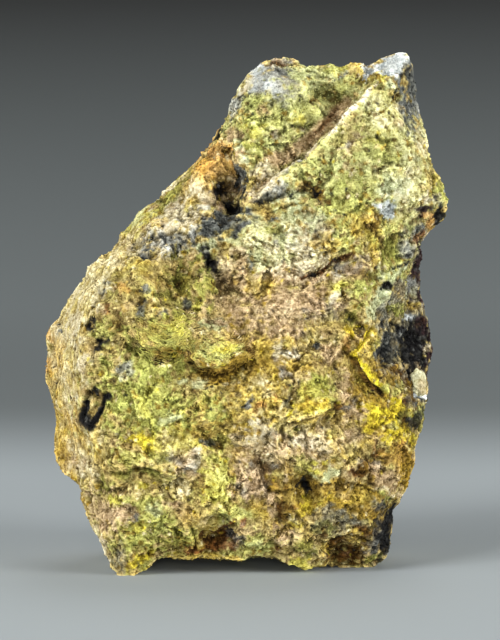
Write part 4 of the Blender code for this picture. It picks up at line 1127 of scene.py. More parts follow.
# Cracks and ridges on the front, each (line, half width, depth).
GROOVES = (
    (((5.2, 30.0), (6.8, 30.3), (8.2, 31.6), (9.4, 32.1), (10.3, 32.4)), 0.18, 0.2),
    (((0.0, 34.1), (0.9, 33.7), (1.6, 33.4), (2.4, 33.1)), 0.12, 0.25),
    (((12.2, 35.3), (12.5, 34.5), (13.4, 33.5), (13.3, 30.5)), 0.25, 0.3),
    (((17.0, 33.2), (16.2, 32.7), (15.5, 32.2), (14.8, 32.0)), 0.14, 0.14),
    (((15.8, 31.7), (15.0, 31.2), (14.2, 30.9), (13.8, 30.8)), 0.15, 0.14),
    (((-14.2, 10.5), (-12.6, 10.3), (-11.0, 10.9), (-9.5, 10.7), (-8.0, 10.0), (-6.4, 9.8)), 0.25, 0.16),
    (((8.3, 17.0), (7.0, 16.2), (5.5, 15.7), (4.0, 15.4), (3.4, 15.0)), 0.16, 0.2),
    (((-6.0, 21.4), (-5.2, 20.7), (-3.2, 20.3), (-1.6, 20.9), (0.2, 21.6)), 0.3, 0.3),
    (((-11.4, 23.4), (-10.2, 22.1), (-8.8, 21.6), (-7.4, 21.9), (-6.2, 22.2)), 0.3, 0.28),
    (((-16.2, 18.4), (-16.7, 17.4), (-16.8, 16.2), (-16.2, 15.2), (-15.5, 15.6), (-15.0, 17.0),
      (-14.6, 18.2)), 0.22, 0.35),
    (((-6.2, 15.8), (-7.6, 15.5)), 0.2, 0.25),
    (((-7.9, 16.0), (-6.6, 16.5), (-5.6, 17.0)), 0.16, -0.25),
    (((10.4, 22.0), (11.2, 20.8), (12.1, 19.4), (13.2, 18.4)), 0.22, 0.3),
    (((9.8, 22.2), (10.4, 22.0)), 0.2, 0.2),
    (((1.0, 11.4), (1.2, 9.6), (2.2, 8.5), (3.4, 8.6)), 0.25, 0.25),
    (((11.6, 12.2), (12.8, 12.0), (13.8, 12.0)), 0.16, 0.3),
    (((10.4, 10.6), (11.6, 10.5), (12.4, 10.8)), 0.16, 0.2),
    (((12.6, 13.8), (12.7, 12.6)), 0.18, 0.2),
    (((0.8, 37.4), (2.4, 37.9), (3.8, 38.6), (5.4, 38.7)), 0.25, 0.3),
    (((3.4, 37.0), (4.6, 37.5), (5.6, 37.4)), 0.16, 0.25),
    (((3.0, 44.6), (4.4, 45.2), (5.8, 44.9), (6.4, 45.4)), 0.22, 0.25),
    (((6.2, 47.8), (6.9, 47.0), (7.6, 46.4)), 0.16, 0.25),
    (((12.6, 44.2), (13.4, 43.6), (14.2, 43.8)), 0.25, 0.25),
    (((12.4, 40.6), (13.4, 41.0), (14.2, 41.6)), 0.2, 0.25),
    (((9.6, 26.6), (10.3, 25.9), (11.1, 25.1)), 0.22, 0.25),
    (((8.6, 21.6), (9.4, 22.8), (10.2, 24.2)), 0.3, 0.25),
    (((-9.0, 34.2), (-7.6, 34.8), (-6.4, 34.4), (-5.6, 33.6)), 0.22, 0.3),
    (((-11.6, 32.8), (-10.6, 32.2), (-9.6, 32.4)), 0.2, 0.25),
    (((-12.0, 22.0), (-12.9, 21.0), (-13.6, 19.4)), 0.2, 0.2),
    (((-5.2, 15.0), (-4.6, 14.2), (-3.4, 13.0)), 0.25, 0.25),
    (((-6.0, 5.2), (-5.2, 3.4), (-5.8, 2.6)), 0.2, 0.25),
    (((7.8, 2.6), (8.2, 3.7), (9.5, 4.0), (10.6, 4.2), (11.8, 3.6)), 0.22, 0.4),
    (((-19.0, 25.6), (-18.8, 24.4), (-18.2, 22.0)), 0.3, 0.2),
    (((-18.6, 15.6), (-18.0, 13.8), (-17.6, 12.0)), 0.25, 0.25),
    (((-19.8, 23.2), (-19.6, 21.4)), 0.25, 0.2),
)

# Broken edges of layers on the front, each (line, height, reach). The raised side is on the line's left.
LEDGES = (
    (((12.6, 49.3), (11.8, 48.4), (10.4, 47.1), (9.0, 45.7), (8.0, 44.4), (6.6, 43.0), (5.4, 41.9),
      (4.2, 41.0), (3.0, 40.1), (1.6, 38.9), (0.4, 38.0)), 0.32, 0.7),
    (((3.6, 31.0), (5.2, 31.4), (6.8, 31.6), (7.6, 32.2)), 0.1, 0.5),
    (((10.3, 22.0), (10.9, 23.0), (12.0, 24.0), (12.6, 25.4)), -0.3, 0.6),
    (((13.3, 26.2), (13.8, 28.0), (14.2, 30.0)), 0.35, 0.5),
    (((4.0, 15.5), (5.5, 15.8), (7.0, 16.3), (8.3, 17.1)), 0.3, 0.8),
    (((-14.0, 10.9), (-12.6, 10.7), (-11.0, 11.2), (-9.5, 11.0), (-8.0, 10.4)), 0.18, 0.9),
    (((-7.0, 9.4), (-5.6, 9.8), (-4.6, 10.4)), 0.2, 0.6),
    (((10.2, 30.6), (11.8, 30.9), (12.6, 31.8)), 0.2, 0.6),
    (((14.0, 8.2), (12.4, 8.7), (10.8, 9.4), (9.2, 9.8)), -0.25, 0.6),
    (((8.0, 4.2), (9.6, 4.4), (11.0, 4.9), (12.4, 4.6)), 0.3, 0.7),
    (((-6.6, 16.3), (-5.2, 17.2), (-4.2, 18.4), (-2.9, 19.6)), 0.22, 0.6),
    (((-1.6, 36.2), (-0.2, 36.6), (1.4, 36.9), (2.6, 36.4)), -0.3, 0.7),
    (((13.0, 50.6), (15.0, 50.4)), 0.25, 0.8),
)

# Places on the front with little relief, each (across, up, half width, half height, turn, share taken away).
CALM = (
    (14.6, 51.6, 3.0, 1.3, 12, 0.8),
    (16.4, 48.4, 1.2, 3.8, -4, 0.6),
    (12.4, 42.6, 6.5, 7.0, 0, 0.25),
    (-18.2, 20.0, 2.8, 11.0, 0, 0.65),
    (1.0, 34.2, 2.6, 2.0, -15, 0.35),
    (2.2, 49.7, 3.4, 1.6, -8, 0.5),
    (-11.0, 36.1, 2.2, 0.9, 42, 0.7),
    (16.0, 23.4, 2.2, 2.6, 0, 0.4),
    (-15.8, 17.0, 1.4, 2.2, 0, 0.5),
)

# Bundles of crust fibres on the front, each (line, half width, height).
PLAITS = (
    (((-11.8, 24.8), (-10.6, 23.6), (-9.2, 22.7), (-7.8, 22.6), (-6.4, 23.2), (-5.4, 24.2)), 1.3, 0.40),
    (((-11.2, 25.9), (-9.6, 25.0), (-8.0, 24.6), (-6.6, 25.2), (-5.4, 26.2)), 0.8, 0.28),
    (((-6.6, 23.3), (-5.4, 22.2), (-4.0, 21.6), (-2.6, 21.7), (-1.2, 22.5), (0.2, 23.3)), 1.2, 0.46),
    (((-5.2, 24.0), (-3.8, 23.2), (-2.4, 23.2), (-1.0, 23.8)), 0.8, 0.34),
    (((-8.0, 16.0), (-6.4, 16.6), (-4.8, 17.4), (-3.4, 19.0)), 0.7, 0.26),
    (((-14.6, 11.4), (-12.0, 11.2), (-9.6, 11.2), (-7.6, 10.4)), 0.8, 0.24),
    (((-6.0, 19.8), (-4.0, 20.0), (-2.0, 19.6), (0.0, 18.8)), 0.9, 0.18),
    (((-0.8, 35.4), (1.2, 33.6), (3.4, 32.2), (5.8, 31.6), (7.4, 32.2)), 1.5, 0.20),
    (((3.0, 30.6), (5.0, 30.4), (7.0, 31.0), (9.0, 31.8)), 0.8, 0.12),
    (((1.2, 26.6), (4.0, 27.4), (7.0, 28.2), (9.6, 28.6)), 1.6, 0.16),
    (((0.6, 37.6), (2.0, 38.8), (4.0, 40.4), (6.0, 41.2)), 0.7, 0.22),
    (((4.4, 15.6), (6.0, 16.2), (7.4, 17.0), (8.2, 17.8)), 0.8, 0.26),
    (((8.0, 4.6), (9.8, 5.0), (11.6, 5.2), (13.0, 6.2)), 1.1, 0.28),
    (((11.0, 15.2), (12.6, 14.6), (14.4, 14.0), (16.0, 13.0)), 0.9, 0.22),
    (((-17.6, 28.4), (-18.6, 25.6), (-18.9, 22.0), (-18.6, 18.0), (-17.8, 13.0)), 1.6, 0.16),
    (((-3.0, 8.0), (-2.6, 9.6), (-3.0, 11.4)), 1.0, 0.20),
)

# The first of the bundles are the lips, which also get loose fibres.
LIPS = PLAITS[:4]

# Small grains strewn over the front's crusts, each (crust, size, seed, chance, reach in sizes).
SPOTS = (
    (C.SOOT, 0.50, 31, 0.035, 0.36),
    (C.BARK, 0.55, 33, 0.08, 0.45),
    (C.BLEACHED, 0.40, 37, 0.06, 0.45),
    (C.DEEP, 0.60, 39, 0.08, 0.50),
    (C.LEMON, 0.45, 43, 0.015, 0.45),
)

# Drifts of crust over the host rock on the unseen sides, each (crust, size, seed, wave where it starts,
# wave where it covers all).
DRIFTS = (
    (C.TAWNY, 9.0, 81, 0.00, 0.18),
    (C.FIELD, 7.0, 83, 0.06, 0.22),
    (C.ROSE, 6.0, 85, 0.16, 0.30),
    (C.GOLD, 5.0, 87, 0.20, 0.34),
    (C.ASH, 5.0, 89, 0.18, 0.32),
    (C.BARK, 3.0, 91, 0.28, 0.42),
    (C.STONE, 2.6, 93, 0.38, 0.50),
)


def lay(shares: np.ndarray, share: np.ndarray, cover: np.ndarray) -> None:
    """Lays a crust over what is there.

    Args:
        shares: One row of mineral shares for each point, which this changes.
        share: How much of each point the crust covers, from 0 to 1.
        cover: The crust's own mineral shares, as one row for all points or one for each.
    """
    shares += share[:, None] * (cover - shares)


def shown(name: str, data: bpy.types.ID) -> bpy.types.Object:
    """Puts an object into the scene.

    Args:
        name: The object's name.
        data: The mesh, light or camera that it shows.

    Returns:
        The object.
    """
    thing = bpy.data.objects.new(name, data)
    bpy.context.scene.collection.objects.link(thing)
    return thing


@dataclass(frozen=True)
class CrustFinish:
    """Schoepite crust: matt, earthy grains of hydrated uranium oxide that weathered out on the rock.

    To the eye it is dry and crumbly, with next to no gloss but on the pitch. Its light grain tips and dark
    gaps are partly painted: the colour is lightened on raised points and darkened in hollows as painted
    highlight and painted shade.
    """

    name: str = "schoepite_crust"
    grain_mm: float = 0.22
    speck_mm: float = 0.15
    mottle_mm: float = 0.50
    roughness: float = 0.90
    pitch_roughness: float = 0.34
    specular_level: float = 0.08
    bump_mm: float = 0.05
    bump_strength: float = 0.6
    grain_share: float = 0.30
    speck_share: float = 1.0
    # How much the painted shading tips the mix towards the light tone on raised points and the dark tone in
    # hollows
    painted_shading_share: float = 0.35
    tone_range: tuple[float, float] = (0.80, 1.60)
    # The painted shade and highlight scale the colour over this range, from the deepest hollow to the highest
    # point
    shade_range: tuple[float, float] = (0.30, 1.20)

    def material(self) -> bpy.types.Material:
        """Builds the material, which reads the two tones, the painted shading and the gloss from the mesh.
        The painted shading darkens the colour in hollows and recesses and lightens it on raised points, as
        painted shade and painted highlight.

        Returns:
            The material.
        """
        material = bpy.data.materials.new(self.name)
        material.use_nodes = True
        tree = material.node_tree
        shader = tree.nodes["Principled BSDF"]
        place = add_node(tree, "ShaderNodeTexCoord", {}, {}).outputs["Object"]
        mottle = add_node(tree, "ShaderNodeTexNoise", {}, {
            "Vector": place, "Scale": 1.0 / (self.mottle_mm * MM), "Detail": 2.0, "Roughness": 0.6,
        }).outputs["Fac"]
        specks = add_node(tree, "ShaderNodeTexNoise", {}, {
            "Vector": place, "Scale": 1.0 / (self.speck_mm * MM), "Detail": 1.0, "Roughness": 0.5,
        }).outputs["Fac"]
        cells = add_node(tree, "ShaderNodeTexVoronoi", {"feature": "F1"}, {
            "Vector": place, "Scale": 1.0 / (self.grain_mm * MM),
        })
        cell_tone = add_node(tree, "ShaderNodeSeparateColor", {}, {"Color": cells.outputs["Color"]})
        tone = add_node(tree, "ShaderNodeMath", {"operation": "MULTIPLY_ADD"}, {
            0: cell_tone.outputs["Red"], 1: self.grain_share, 2: mottle,
        })
        tone = add_node(tree, "ShaderNodeMath", {"operation": "MULTIPLY_ADD"}, {
            0: specks, 1: self.speck_share, 2: tone.outputs[0],
        })
        # Painted shading: raised points lean to the light tone and hollows to the dark tone, as painted
        # highlight and painted shade
        painted_relief_shading = add_node(tree, "ShaderNodeAttribute", {"attribute_name": "painted_relief_shading"}, {}).outputs["Fac"]
        tone = add_node(tree, "ShaderNodeMath", {"operation": "MULTIPLY_ADD"}, {
            0: painted_relief_shading, 1: self.painted_shading_share, 2: tone.outputs[0],
        })
        share = add_node(tree, "ShaderNodeMapRange", {}, {
            "Value": tone.outputs[0], "From Min": self.tone_range[0], "From Max": self.tone_range[1],
        }).outputs["Result"]
        dark = add_node(tree, "ShaderNodeAttribute", {"attribute_name": "tone_dark"}, {}).outputs["Color"]
        light = add_node(tree, "ShaderNodeAttribute", {"attribute_name": "tone_light"}, {}).outputs["Color"]
        mixed = add_node(tree, "ShaderNodeMix", {"data_type": "RGBA"}, {
            "Factor": share, "A": dark, "B": light,
        })
        # Painted shade and highlight: the colour is scaled down in hollows and up on raised points
        shade = add_node(tree, "ShaderNodeMapRange", {}, {
            "Value": painted_relief_shading, "From Min": -1.0, "From Max": 1.0,
            "To Min": self.shade_range[0], "To Max": self.shade_range[1],
        }).outputs["Result"]
        shaded = add_node(tree, "ShaderNodeVectorMath", {"operation": "SCALE"}, {
            0: mixed.outputs["Result"], "Scale": shade,
        })
        tree.links.new(shaded.outputs["Vector"], shader.inputs["Base Color"])
        gloss = add_node(tree, "ShaderNodeAttribute", {"attribute_name": "gloss"}, {}).outputs["Fac"]
        rough = add_node(tree, "ShaderNodeMapRange", {}, {
            "Value": gloss, "To Min": self.roughness, "To Max": self.pitch_roughness,
        }).outputs["Result"]
        tree.links.new(rough, shader.inputs["Roughness"])
        shader.inputs["Specular IOR Level"].default_value = self.specular_level
        bump = add_node(tree, "ShaderNodeBump", {}, {
            "Height": tone.outputs[0], "Strength": self.bump_strength, "Distance": self.bump_mm * MM,
        })
        tree.links.new(bump.outputs["Normal"], shader.inputs["Normal"])
        return material


@dataclass
class Coat:
    """What the surface of the stone looks like at each point of its skin."""

    dark: np.ndarray
    light: np.ndarray
    gloss: np.ndarray
    # Painted shading from how far each point stands out: painted shade in hollows, painted highlight on
    # raised points
    painted_relief_shading: np.ndarray

    @classmethod
    def from_weights(cls, weights: np.ndarray, painted_relief_shading: np.ndarray) -> "Coat":
        """Mixes the minerals' tones.

        Args:
            weights: One row of mineral weights for each point.
            painted_relief_shading: How far each point stands out, from -1 to 1, which the material paints as
                shade in hollows and as highlight on raised points.

        Returns:
            The coat.
        """
        dark = np.array([linear(mineral.value.dark) for mineral in PALETTE])
        light = np.array([linear(mineral.value.light) for mineral in PALETTE])
        gloss = np.array([mineral.value.gloss for mineral in PALETTE])
        return cls(weights @ dark, weights @ light, weights @ gloss, painted_relief_shading)

    def write(self, mesh: bpy.types.Mesh) -> None:
        """Stores the coat as attributes of the mesh's points."""
        for name, tones in (("tone_dark", self.dark), ("tone_light", self.light)):
            layer = mesh.attributes.new(name, "FLOAT_COLOR", "POINT")
            layer.data.foreach_set("color", tones.ravel())
        for name, values in (("gloss", self.gloss), ("painted_relief_shading", self.painted_relief_shading)):
            mesh.attributes.new(name, "FLOAT", "POINT").data.foreach_set("value", values)


@dataclass
class CrustedStone:
    """The whole stone as one fine skin. Lengths are millimetres.

    Its rises are, from the widest to the finest, those of swells, blocks, chips, crumbs and grit. A rim or
    range holds the value that gives none and the value that gives all.
    """

    front_edge: float = 0.30
    side_edge: float = 0.90
    front_facing: float = 0.10
    rounds: int = 6
    relax_passes: int = 2
    normal_passes: int = 4
    foot_height: float = 0.02
    calm_rim: tuple[float, float] = (1.2, 0.7)
    lip_rim: tuple[float, float] = (1.3, 0.7)
    wander: float = 0.75
    fray: float = 0.75
    streak_wander: tuple[float, float] = (0.7, 0.3)
    unseen_range: tuple[float, float] = (-0.02, -0.24)
    unseen_wander: float = 0.10
    spot_strength: float = 0.7
    spot_rim: float = 0.1
    spot_drift: float = 0.9
    fleck_strength: float = 0.35
    fleck_range: tuple[float, float] = (0.30, 0.38)
    mix_fields: int = 5
    mix_seed: int = 12
    mix_strength: float = 0.56
    mix_sharpness: float = 1.25
    least_share: float = 1e-3
    swell_rise: float = 0.26
    block_rise: float = 0.28
    chip_rise: float = 0.16
    crumb_rise: float = 0.08
    crumb_step: float = 0.05
    grit_rise: float = 0.05
    pit_depth: float = 0.22
    pit_range: tuple[float, float] = (0.30, 0.70)
    stir: float = 0.25
    stroke_range: tuple[float, float] = (0.02, 0.22)
    # How the painted shading is measured, near and far: the far one darkens whole recesses as painted shade
    near_painted_shading: tuple[int, float, float] = (3, 0.06, 0.45)
    far_painted_shading: tuple[int, float, float] = (28, 0.24, 0.6)

    def build(self) -> bpy.types.Object:
        """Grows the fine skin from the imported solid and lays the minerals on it.

        Returns:
            The stone.
        """
        mesh = self.fine_mesh()
        self.skin = Skin.from_mesh(mesh)
        skin = self.skin
        base = skin.points.copy()
        skin.points = skin.spread(skin.points, self.relax_passes)
        feet = base[:, 2] < self.foot_height
        skin.points[feet] = base[feet]
        normals = skin.spread(skin.normals(), self.normal_passes)
        normals /= np.linalg.norm(normals, axis=1, keepdims=True)
        facing = -normals @ np.array(EYE.ahead)
        places = EYE.drawing_places(skin.points)
        weights = self.minerals(skin.points, places, facing)
        calm = np.ones(len(places))
        for *oval, share in CALM:
            calm -= share * calm * blended(*self.calm_rim, Oval(*oval).reach(places))
        height = self.strokes(places, facing) + calm * self.crumbs(skin.points)
        height += self.grit_rise * waves(skin.points, size=0.4, octaves=2, seed=47)
        height[feet] = 0.0
        skin.points += normals * height[:, None]
        skin.points[:, 2] = np.maximum(skin.points[:, 2], 0.0)
        self.weights = weights
        self.fibrous = np.max([
            blended(*self.lip_rim, along_line(places, line)[0] / half_width) for line, half_width, _ in LIPS
        ], axis=0)
        # The coat carries the painted shading: painted shade in hollows and recesses, painted highlight on
        # raised points
        self.coat = Coat.from_weights(weights, self.painted_relief_shading())
        mesh.vertices.foreach_set("co", (skin.points * MM).ravel())
        self.coat.write(mesh)
        mesh.update()
        self.tree = BVHTree.FromPolygons(skin.points.tolist(), skin.faces.tolist())
        return shown("crusted_stone", mesh)

    def fine_mesh(self) -> bpy.types.Mesh:
        """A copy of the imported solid's mesh with its long edges split."""
        bm = bmesh.new()
        bm.from_mesh(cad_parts[NODE].data)
        bmesh.ops.remove_doubles(bm, verts=bm.verts[:], dist=1e-7)
        ahead = EYE.ahead
        for _ in range(self.rounds):
            bm.normal_update()
            long_edges = []
            for edge in bm.edges:
                facing = max(-face.normal.dot(ahead) for face in edge.link_faces)
                limit = self.front_edge if facing > self.front_facing else self.side_edge
                if edge.calc_length() > limit * MM:
                    long_edges.append(edge)
            if not long_edges:
                break
            bmesh.ops.subdivide_edges(bm, edges=long_edges, cuts=1)
            bmesh.ops.triangulate(bm, faces=[face for face in bm.faces if len(face.verts) > 3])
        mesh = bpy.data.meshes.new("crusted_stone")
        bm.to_mesh(mesh)
        bm.free()
        return mesh

    def minerals(self, points: np.ndarray, places: np.ndarray, facing: np.ndarray) -> np.ndarray:
        """The weight of each mineral at each point.

        Args:
            points: The relaxed points in millimetres.
            places: Their drawing places.
            facing: How squarely each point faces the eye.

        Returns:
            One row of weights for each point, which sum to 1.
        """
        bent = places.copy()
        for axis, seed in ((0, 3), (1, 11)):
            bent[:, axis] += self.wander * waves(points, size=2.4, octaves=4, seed=seed)
        fraying = self.fray * waves(points, size=0.8, octaves=3, seed=13)
        steady, wandering = self.streak_wander
        shares = np.tile(Crust.TAWNY.shares(), (len(points), 1))
        for crust, *oval, strength in FIELDS:
            lay(shares, Patch(Oval(*oval), strength).share(bent, fraying), crust.shares())
        for crust, *streak in STREAKS:
            share = Vein(*streak).share(steady * places + wandering * bent, fraying)
            lay(shares, share, crust.shares())
        turned_away = facing + self.unseen_wander * waves(points, size=2.2, octaves=3, seed=71)
        lay(shares, blended(*self.unseen_range, turned_away), self.plain_crusts(points))
        self.add_spots(points, shares)
        return self.sorted_out(points, shares)

    def add_spots(self, points: np.ndarray, shares: np.ndarray) -> None:
        """Strews small dark and pale grains over the crusts.

        Args:
            points: The relaxed points in millimetres.
            shares: The mineral shares, which this changes.
        """
        drift = waves(points, size=5.0, octaves=2, seed=23)
        dark = shares[:, [PALETTE.index(mineral) for mineral in (Mineral.PITCH, Mineral.PLUM, Mineral.STEEL)]]
        dark = np.minimum(1.6 * dark.sum(axis=1), 1.0)
        grey = shares[:, [PALETTE.index(mineral) for mineral in (Mineral.SLATE, Mineral.CHALK)]].sum(axis=1)
        kept = np.maximum(1.0 - dark - 1.3 * grey, 0.0)
        flecks = blended(*self.fleck_range, waves(points, size=0.6, octaves=3, seed=17))
        lay(shares, self.fleck_strength * dark * flecks, Crust.ASH.shares())
        for crust, size, seed, chance, reach in SPOTS:
            chunks = Chunks.at(points, size, seed)
            here = chunks.picks() < chance * (1.0 + self.spot_drift * drift)
            cover = blended(reach + self.spot_rim, reach - self.spot_rim, chunks.gap)
            lay(shares, self.spot_strength * kept * here * cover, crust.shares())

    def plain_crusts(self, points: np.ndarray) -> np.ndarray:
        """The minerals of the unseen sides: host rock with drifts of crust.

        Args:
            points: The relaxed points in millimetres.

        Returns:
            One row of mineral shares for each point.
        """
        shares = np.tile(Crust.HOST.shares(), (len(points), 1))
        for crust, size, seed, low, high in DRIFTS:
            lay(shares, blended(low, high, waves(points, size, octaves=4, seed=seed)), crust.shares())
        return shares

    def sorted_out(self, points: np.ndarray, shares: np.ndarray) -> np.ndarray:
        """Lets the minerals of a mixture take turns from spot to spot.

        Args:
            points: The relaxed points in millimetres.
            shares: The mineral shares.

        Returns:
            One row of weights for each point, which sum to 1.
        """
        fields = np.column_stack([
            waves(points, size=1.9, octaves=4, seed=101 + 7 * k) for k in range(self.mix_fields)
        ])
        mix = np.random.default_rng(self.mix_seed).normal(size=(self.mix_fields, len(PALETTE)))
        grips = np.array([mineral.value.grip for mineral in PALETTE])
        scores = np.log(shares + self.least_share) + grips + self.mix_strength * (fields @ mix)
        scores = self.mix_sharpness * (scores - scores.max(axis=1, keepdims=True))
        weights = np.exp(scores)
        return weights / weights.sum(axis=1, keepdims=True)

    def strokes(self, places: np.ndarray, facing: np.ndarray) -> np.ndarray:
        """How far the listed hollows, cracks, ledges and fibres raise each point.

        Args:
            places: The drawing places.
            facing: How squarely each point faces the eye.

        Returns:
            The rise in millimetres.
        """
        rise = np.zeros(len(places))
        for *oval, depth in DENTS:
            rise += Dent(Oval(*oval), depth).rise(places)
        for stroke in itertools.chain(itertools.starmap(Groove, GROOVES), itertools.starmap(Ledge, LEDGES)):
            rise += stroke.rise(places)
        for seed, plait in enumerate(itertools.starmap(Plait, PLAITS), start=200):
            rise += plait.rise(places, seed)
        return rise * blended(*self.stroke_range, facing)

    def crumbs(self, points: np.ndarray) -> np.ndarray:
        """How far breaks, crumbs and pits raise each point.

        Args:
            points: The relaxed points in millimetres.

        Returns:
            The rise in millimetres.
        """
        arms = np.column_stack([waves(points, size=1.3, octaves=2, seed=61 + k) for k in range(3)])
        stirred = points + self.stir * arms
        rough = 0.45 + 0.75 * blended(-0.35, 0.35, waves(points, size=4.5, octaves=2, seed=67))
        fine = self.chip_rise * Chunks.at(stirred, size=0.95, seed=7).facets()
        small = Chunks.at(stirred, size=0.42, seed=9)
        fine += self.crumb_rise * small.facets() + self.crumb_step * (small.picks() - 0.5)
        fine -= self.pit_depth * blended(*self.pit_range, waves(points, size=1.5, octaves=4, seed=57))
        rise = self.swell_rise * waves(points, size=2.8, octaves=2, seed=41)
        rise += self.block_rise * Chunks.at(stirred, size=2.3, seed=5).facets()
        return rise + rough * fine

    def painted_relief_shading(self) -> np.ndarray:
        """How far each point stands out from its near and far surroundings, from -1 to 1. The material paints
        it as shade in hollows and recesses and as highlight on raised points.

        Each of the two holds how often the skin is averaged, the height that counts as 1, and its weight.
        """
        skin = self.skin
        normals = skin.normals()
        total = np.zeros(len(normals))
        for passes, full_height, weight in (self.near_painted_shading, self.far_painted_shading):
            arms = skin.points - skin.spread(skin.points, passes)
            total += weight * (np.einsum("ij,ij->i", arms, normals) / full_height)
        return np.clip(total, -1.0, 1.0)

    def spot(self, across: float, up: float) -> tuple[Vector, Vector, int]:
        """Finds where the eye's ray through a drawing place meets the stone.

        Args:
            across: Distance to the right of the drawing's middle line.
            up: Height over the lowest toe.

        Returns:
            The place in millimetres, the surface's normal there, and the number of its face.
        """
        eye = EYE.place
        place, normal, number, _ = self.tree.ray_cast(eye, EYE.row_place(across, up, 0.0) - eye)
        if place is None:
            raise ValueError(f"no stone behind drawing place {across}, {up}")
        return place, normal, number


def random_turns(draw: np.random.Generator, count: int) -> np.ndarray:
    """Random rotation matrices.

    Args:
        draw: Where the random numbers come from.
        count: How many to make.

    Returns:
        One matrix for each of count shapes.
    """
    q = draw.normal(size=(count, 4))
    w, x, y, z = (q / np.linalg.norm(q, axis=1, keepdims=True)).T
    rows = (
        (1 - 2 * (y * y + z * z), 2 * (x * y - z * w), 2 * (x * z + y * w)),
        (2 * (x * y + z * w), 1 - 2 * (x * x + z * z), 2 * (y * z - x * w)),
        (2 * (x * z - y * w), 2 * (y * z + x * w), 1 - 2 * (x * x + y * y)),
    )
    return np.moveaxis(np.array(rows), 2, 0)


def unit_shape(maker: Callable, **sizes: float) -> tuple[np.ndarray, np.ndarray]:
    """Makes a small shape to be repeated.

    Args:
        maker: The bmesh operator that creates it.
        sizes: The operator's settings.

    Returns:
        Its corners and the corner numbers of its faces.
    """
    bm = bmesh.new()
    maker(bm, **sizes)
    bmesh.ops.triangulate(bm, faces=bm.faces[:])
    corners = np.array([vert.co[:] for vert in bm.verts])
    faces = np.array([[vert.index for vert in face.verts] for face in bm.faces])
    bm.free()
    return corners, faces


@dataclass
class Strewn:
    """Many small closed shapes that make up one piece, with the stone's coat at their places."""

    name: str
    shapes: np.ndarray
    faces: np.ndarray
    hosts: np.ndarray
    bright: np.ndarray
    # The painted shading that all the shapes take; 0 gives neither painted shade nor painted highlight
    painted_relief_shading: float = 0.0

    def build(self, coat: Coat) -> bpy.types.Object:
        """Joins the shapes into one piece.

        Args:
            coat: The stone's coat, which each shape takes the tone of its host point from.

        Returns:
            The piece.
        """
        count, corners = self.shapes.shape[:2]
        faces = (self.faces[None] + corners * np.arange(count)[:, None, None]).reshape(-1, 3)
        hosts = np.repeat(self.hosts, corners)
        bright = np.repeat(self.bright, corners)[:, None] * (1.0, 1.0, 1.0, 0.0) + (0.0, 0.0, 0.0, 1.0)
        mesh = bpy.data.meshes.new(self.name)
        mesh.from_pydata((self.shapes.reshape(-1, 3) * MM).tolist(), [], faces.tolist())
        painted_relief_shading = np.full(len(hosts), self.painted_relief_shading)
        Coat(coat.dark[hosts] * bright, coat.light[hosts] * bright, coat.gloss[hosts], painted_relief_shading).write(mesh)
        return shown(self.name, mesh)


@dataclass
class GrainCover:
    """Loose grains of the crust, each a small block half sunk in the stone. Lengths are millimetres.

    Thinness, jitter and lift are parts of a grain's size. The lift is how far its middle lies out of the
    stone. A high small_bias makes most grains small.
    """

    name: str
    count: int
    smallest: float
    largest: float
    seed: int
    floor_gap: float = 0.4
    small_bias: float = 2.5
    thinness: tuple[float, float] = (0.45, 1.0)
    jitter: tuple[float, float] = (0.6, 1.1)
    lift: float = 0.12
    brightness: tuple[float, float] = (0.62, 1.38)

    def build(self, stone: CrustedStone) -> bpy.types.Object:
        """Scatters the grains over the seen faces of the stone.

        Args:
            stone: The finished stone.

        Returns:
            All grains as one piece.
        """
        draw = np.random.default_rng(self.seed)
        skin = stone.skin
        corners = skin.points[skin.faces]
        crosses = np.cross(corners[:, 1] - corners[:, 0], corners[:, 2] - corners[:, 0])
        areas = np.linalg.norm(crosses, axis=1)
        facing = -(crosses / areas[:, None]) @ np.array(EYE.ahead)
        pitch = stone.weights[:, PALETTE.index(Mineral.PITCH)][skin.faces[:, 0]]
        chance = areas * (0.15 + blended(-0.1, 0.3, facing)) * (1.0 - 0.4 * pitch)
        off_floor = corners[:, :, 2].min(axis=1) > self.floor_gap
        chance *= off_floor * (1.0 - 0.5 * stone.fibrous[skin.faces[:, 0]])
        chosen = draw.choice(len(areas), self.count, p=chance / chance.sum())
        shares = draw.dirichlet((1.0, 1.0, 1.0), self.count)
        centres = np.einsum("gk,gkj->gj", shares, corners[chosen])
        normals = crosses[chosen] / areas[chosen][:, None]
        sizes = self.smallest + (self.largest - self.smallest) * draw.random(self.count) ** self.small_bias
        block, faces = unit_shape(bmesh.ops.create_cube, size=1.0)
        turns = random_turns(draw, self.count)
        scales = sizes[:, None] * draw.uniform(*self.thinness, (self.count, 3))
        jitter = draw.uniform(*self.jitter, (self.count, len(block), 1))
        shapes = np.einsum("gij,gvj->gvi", turns, block[None] * jitter * scales[:, None, :])
        shapes += (centres + self.lift * sizes[:, None] * normals)[:, None, :]
        bright = draw.uniform(*self.brightness, self.count)
        return Strewn(self.name, shapes, faces, skin.faces[chosen, 0], bright).build(stone.coat)


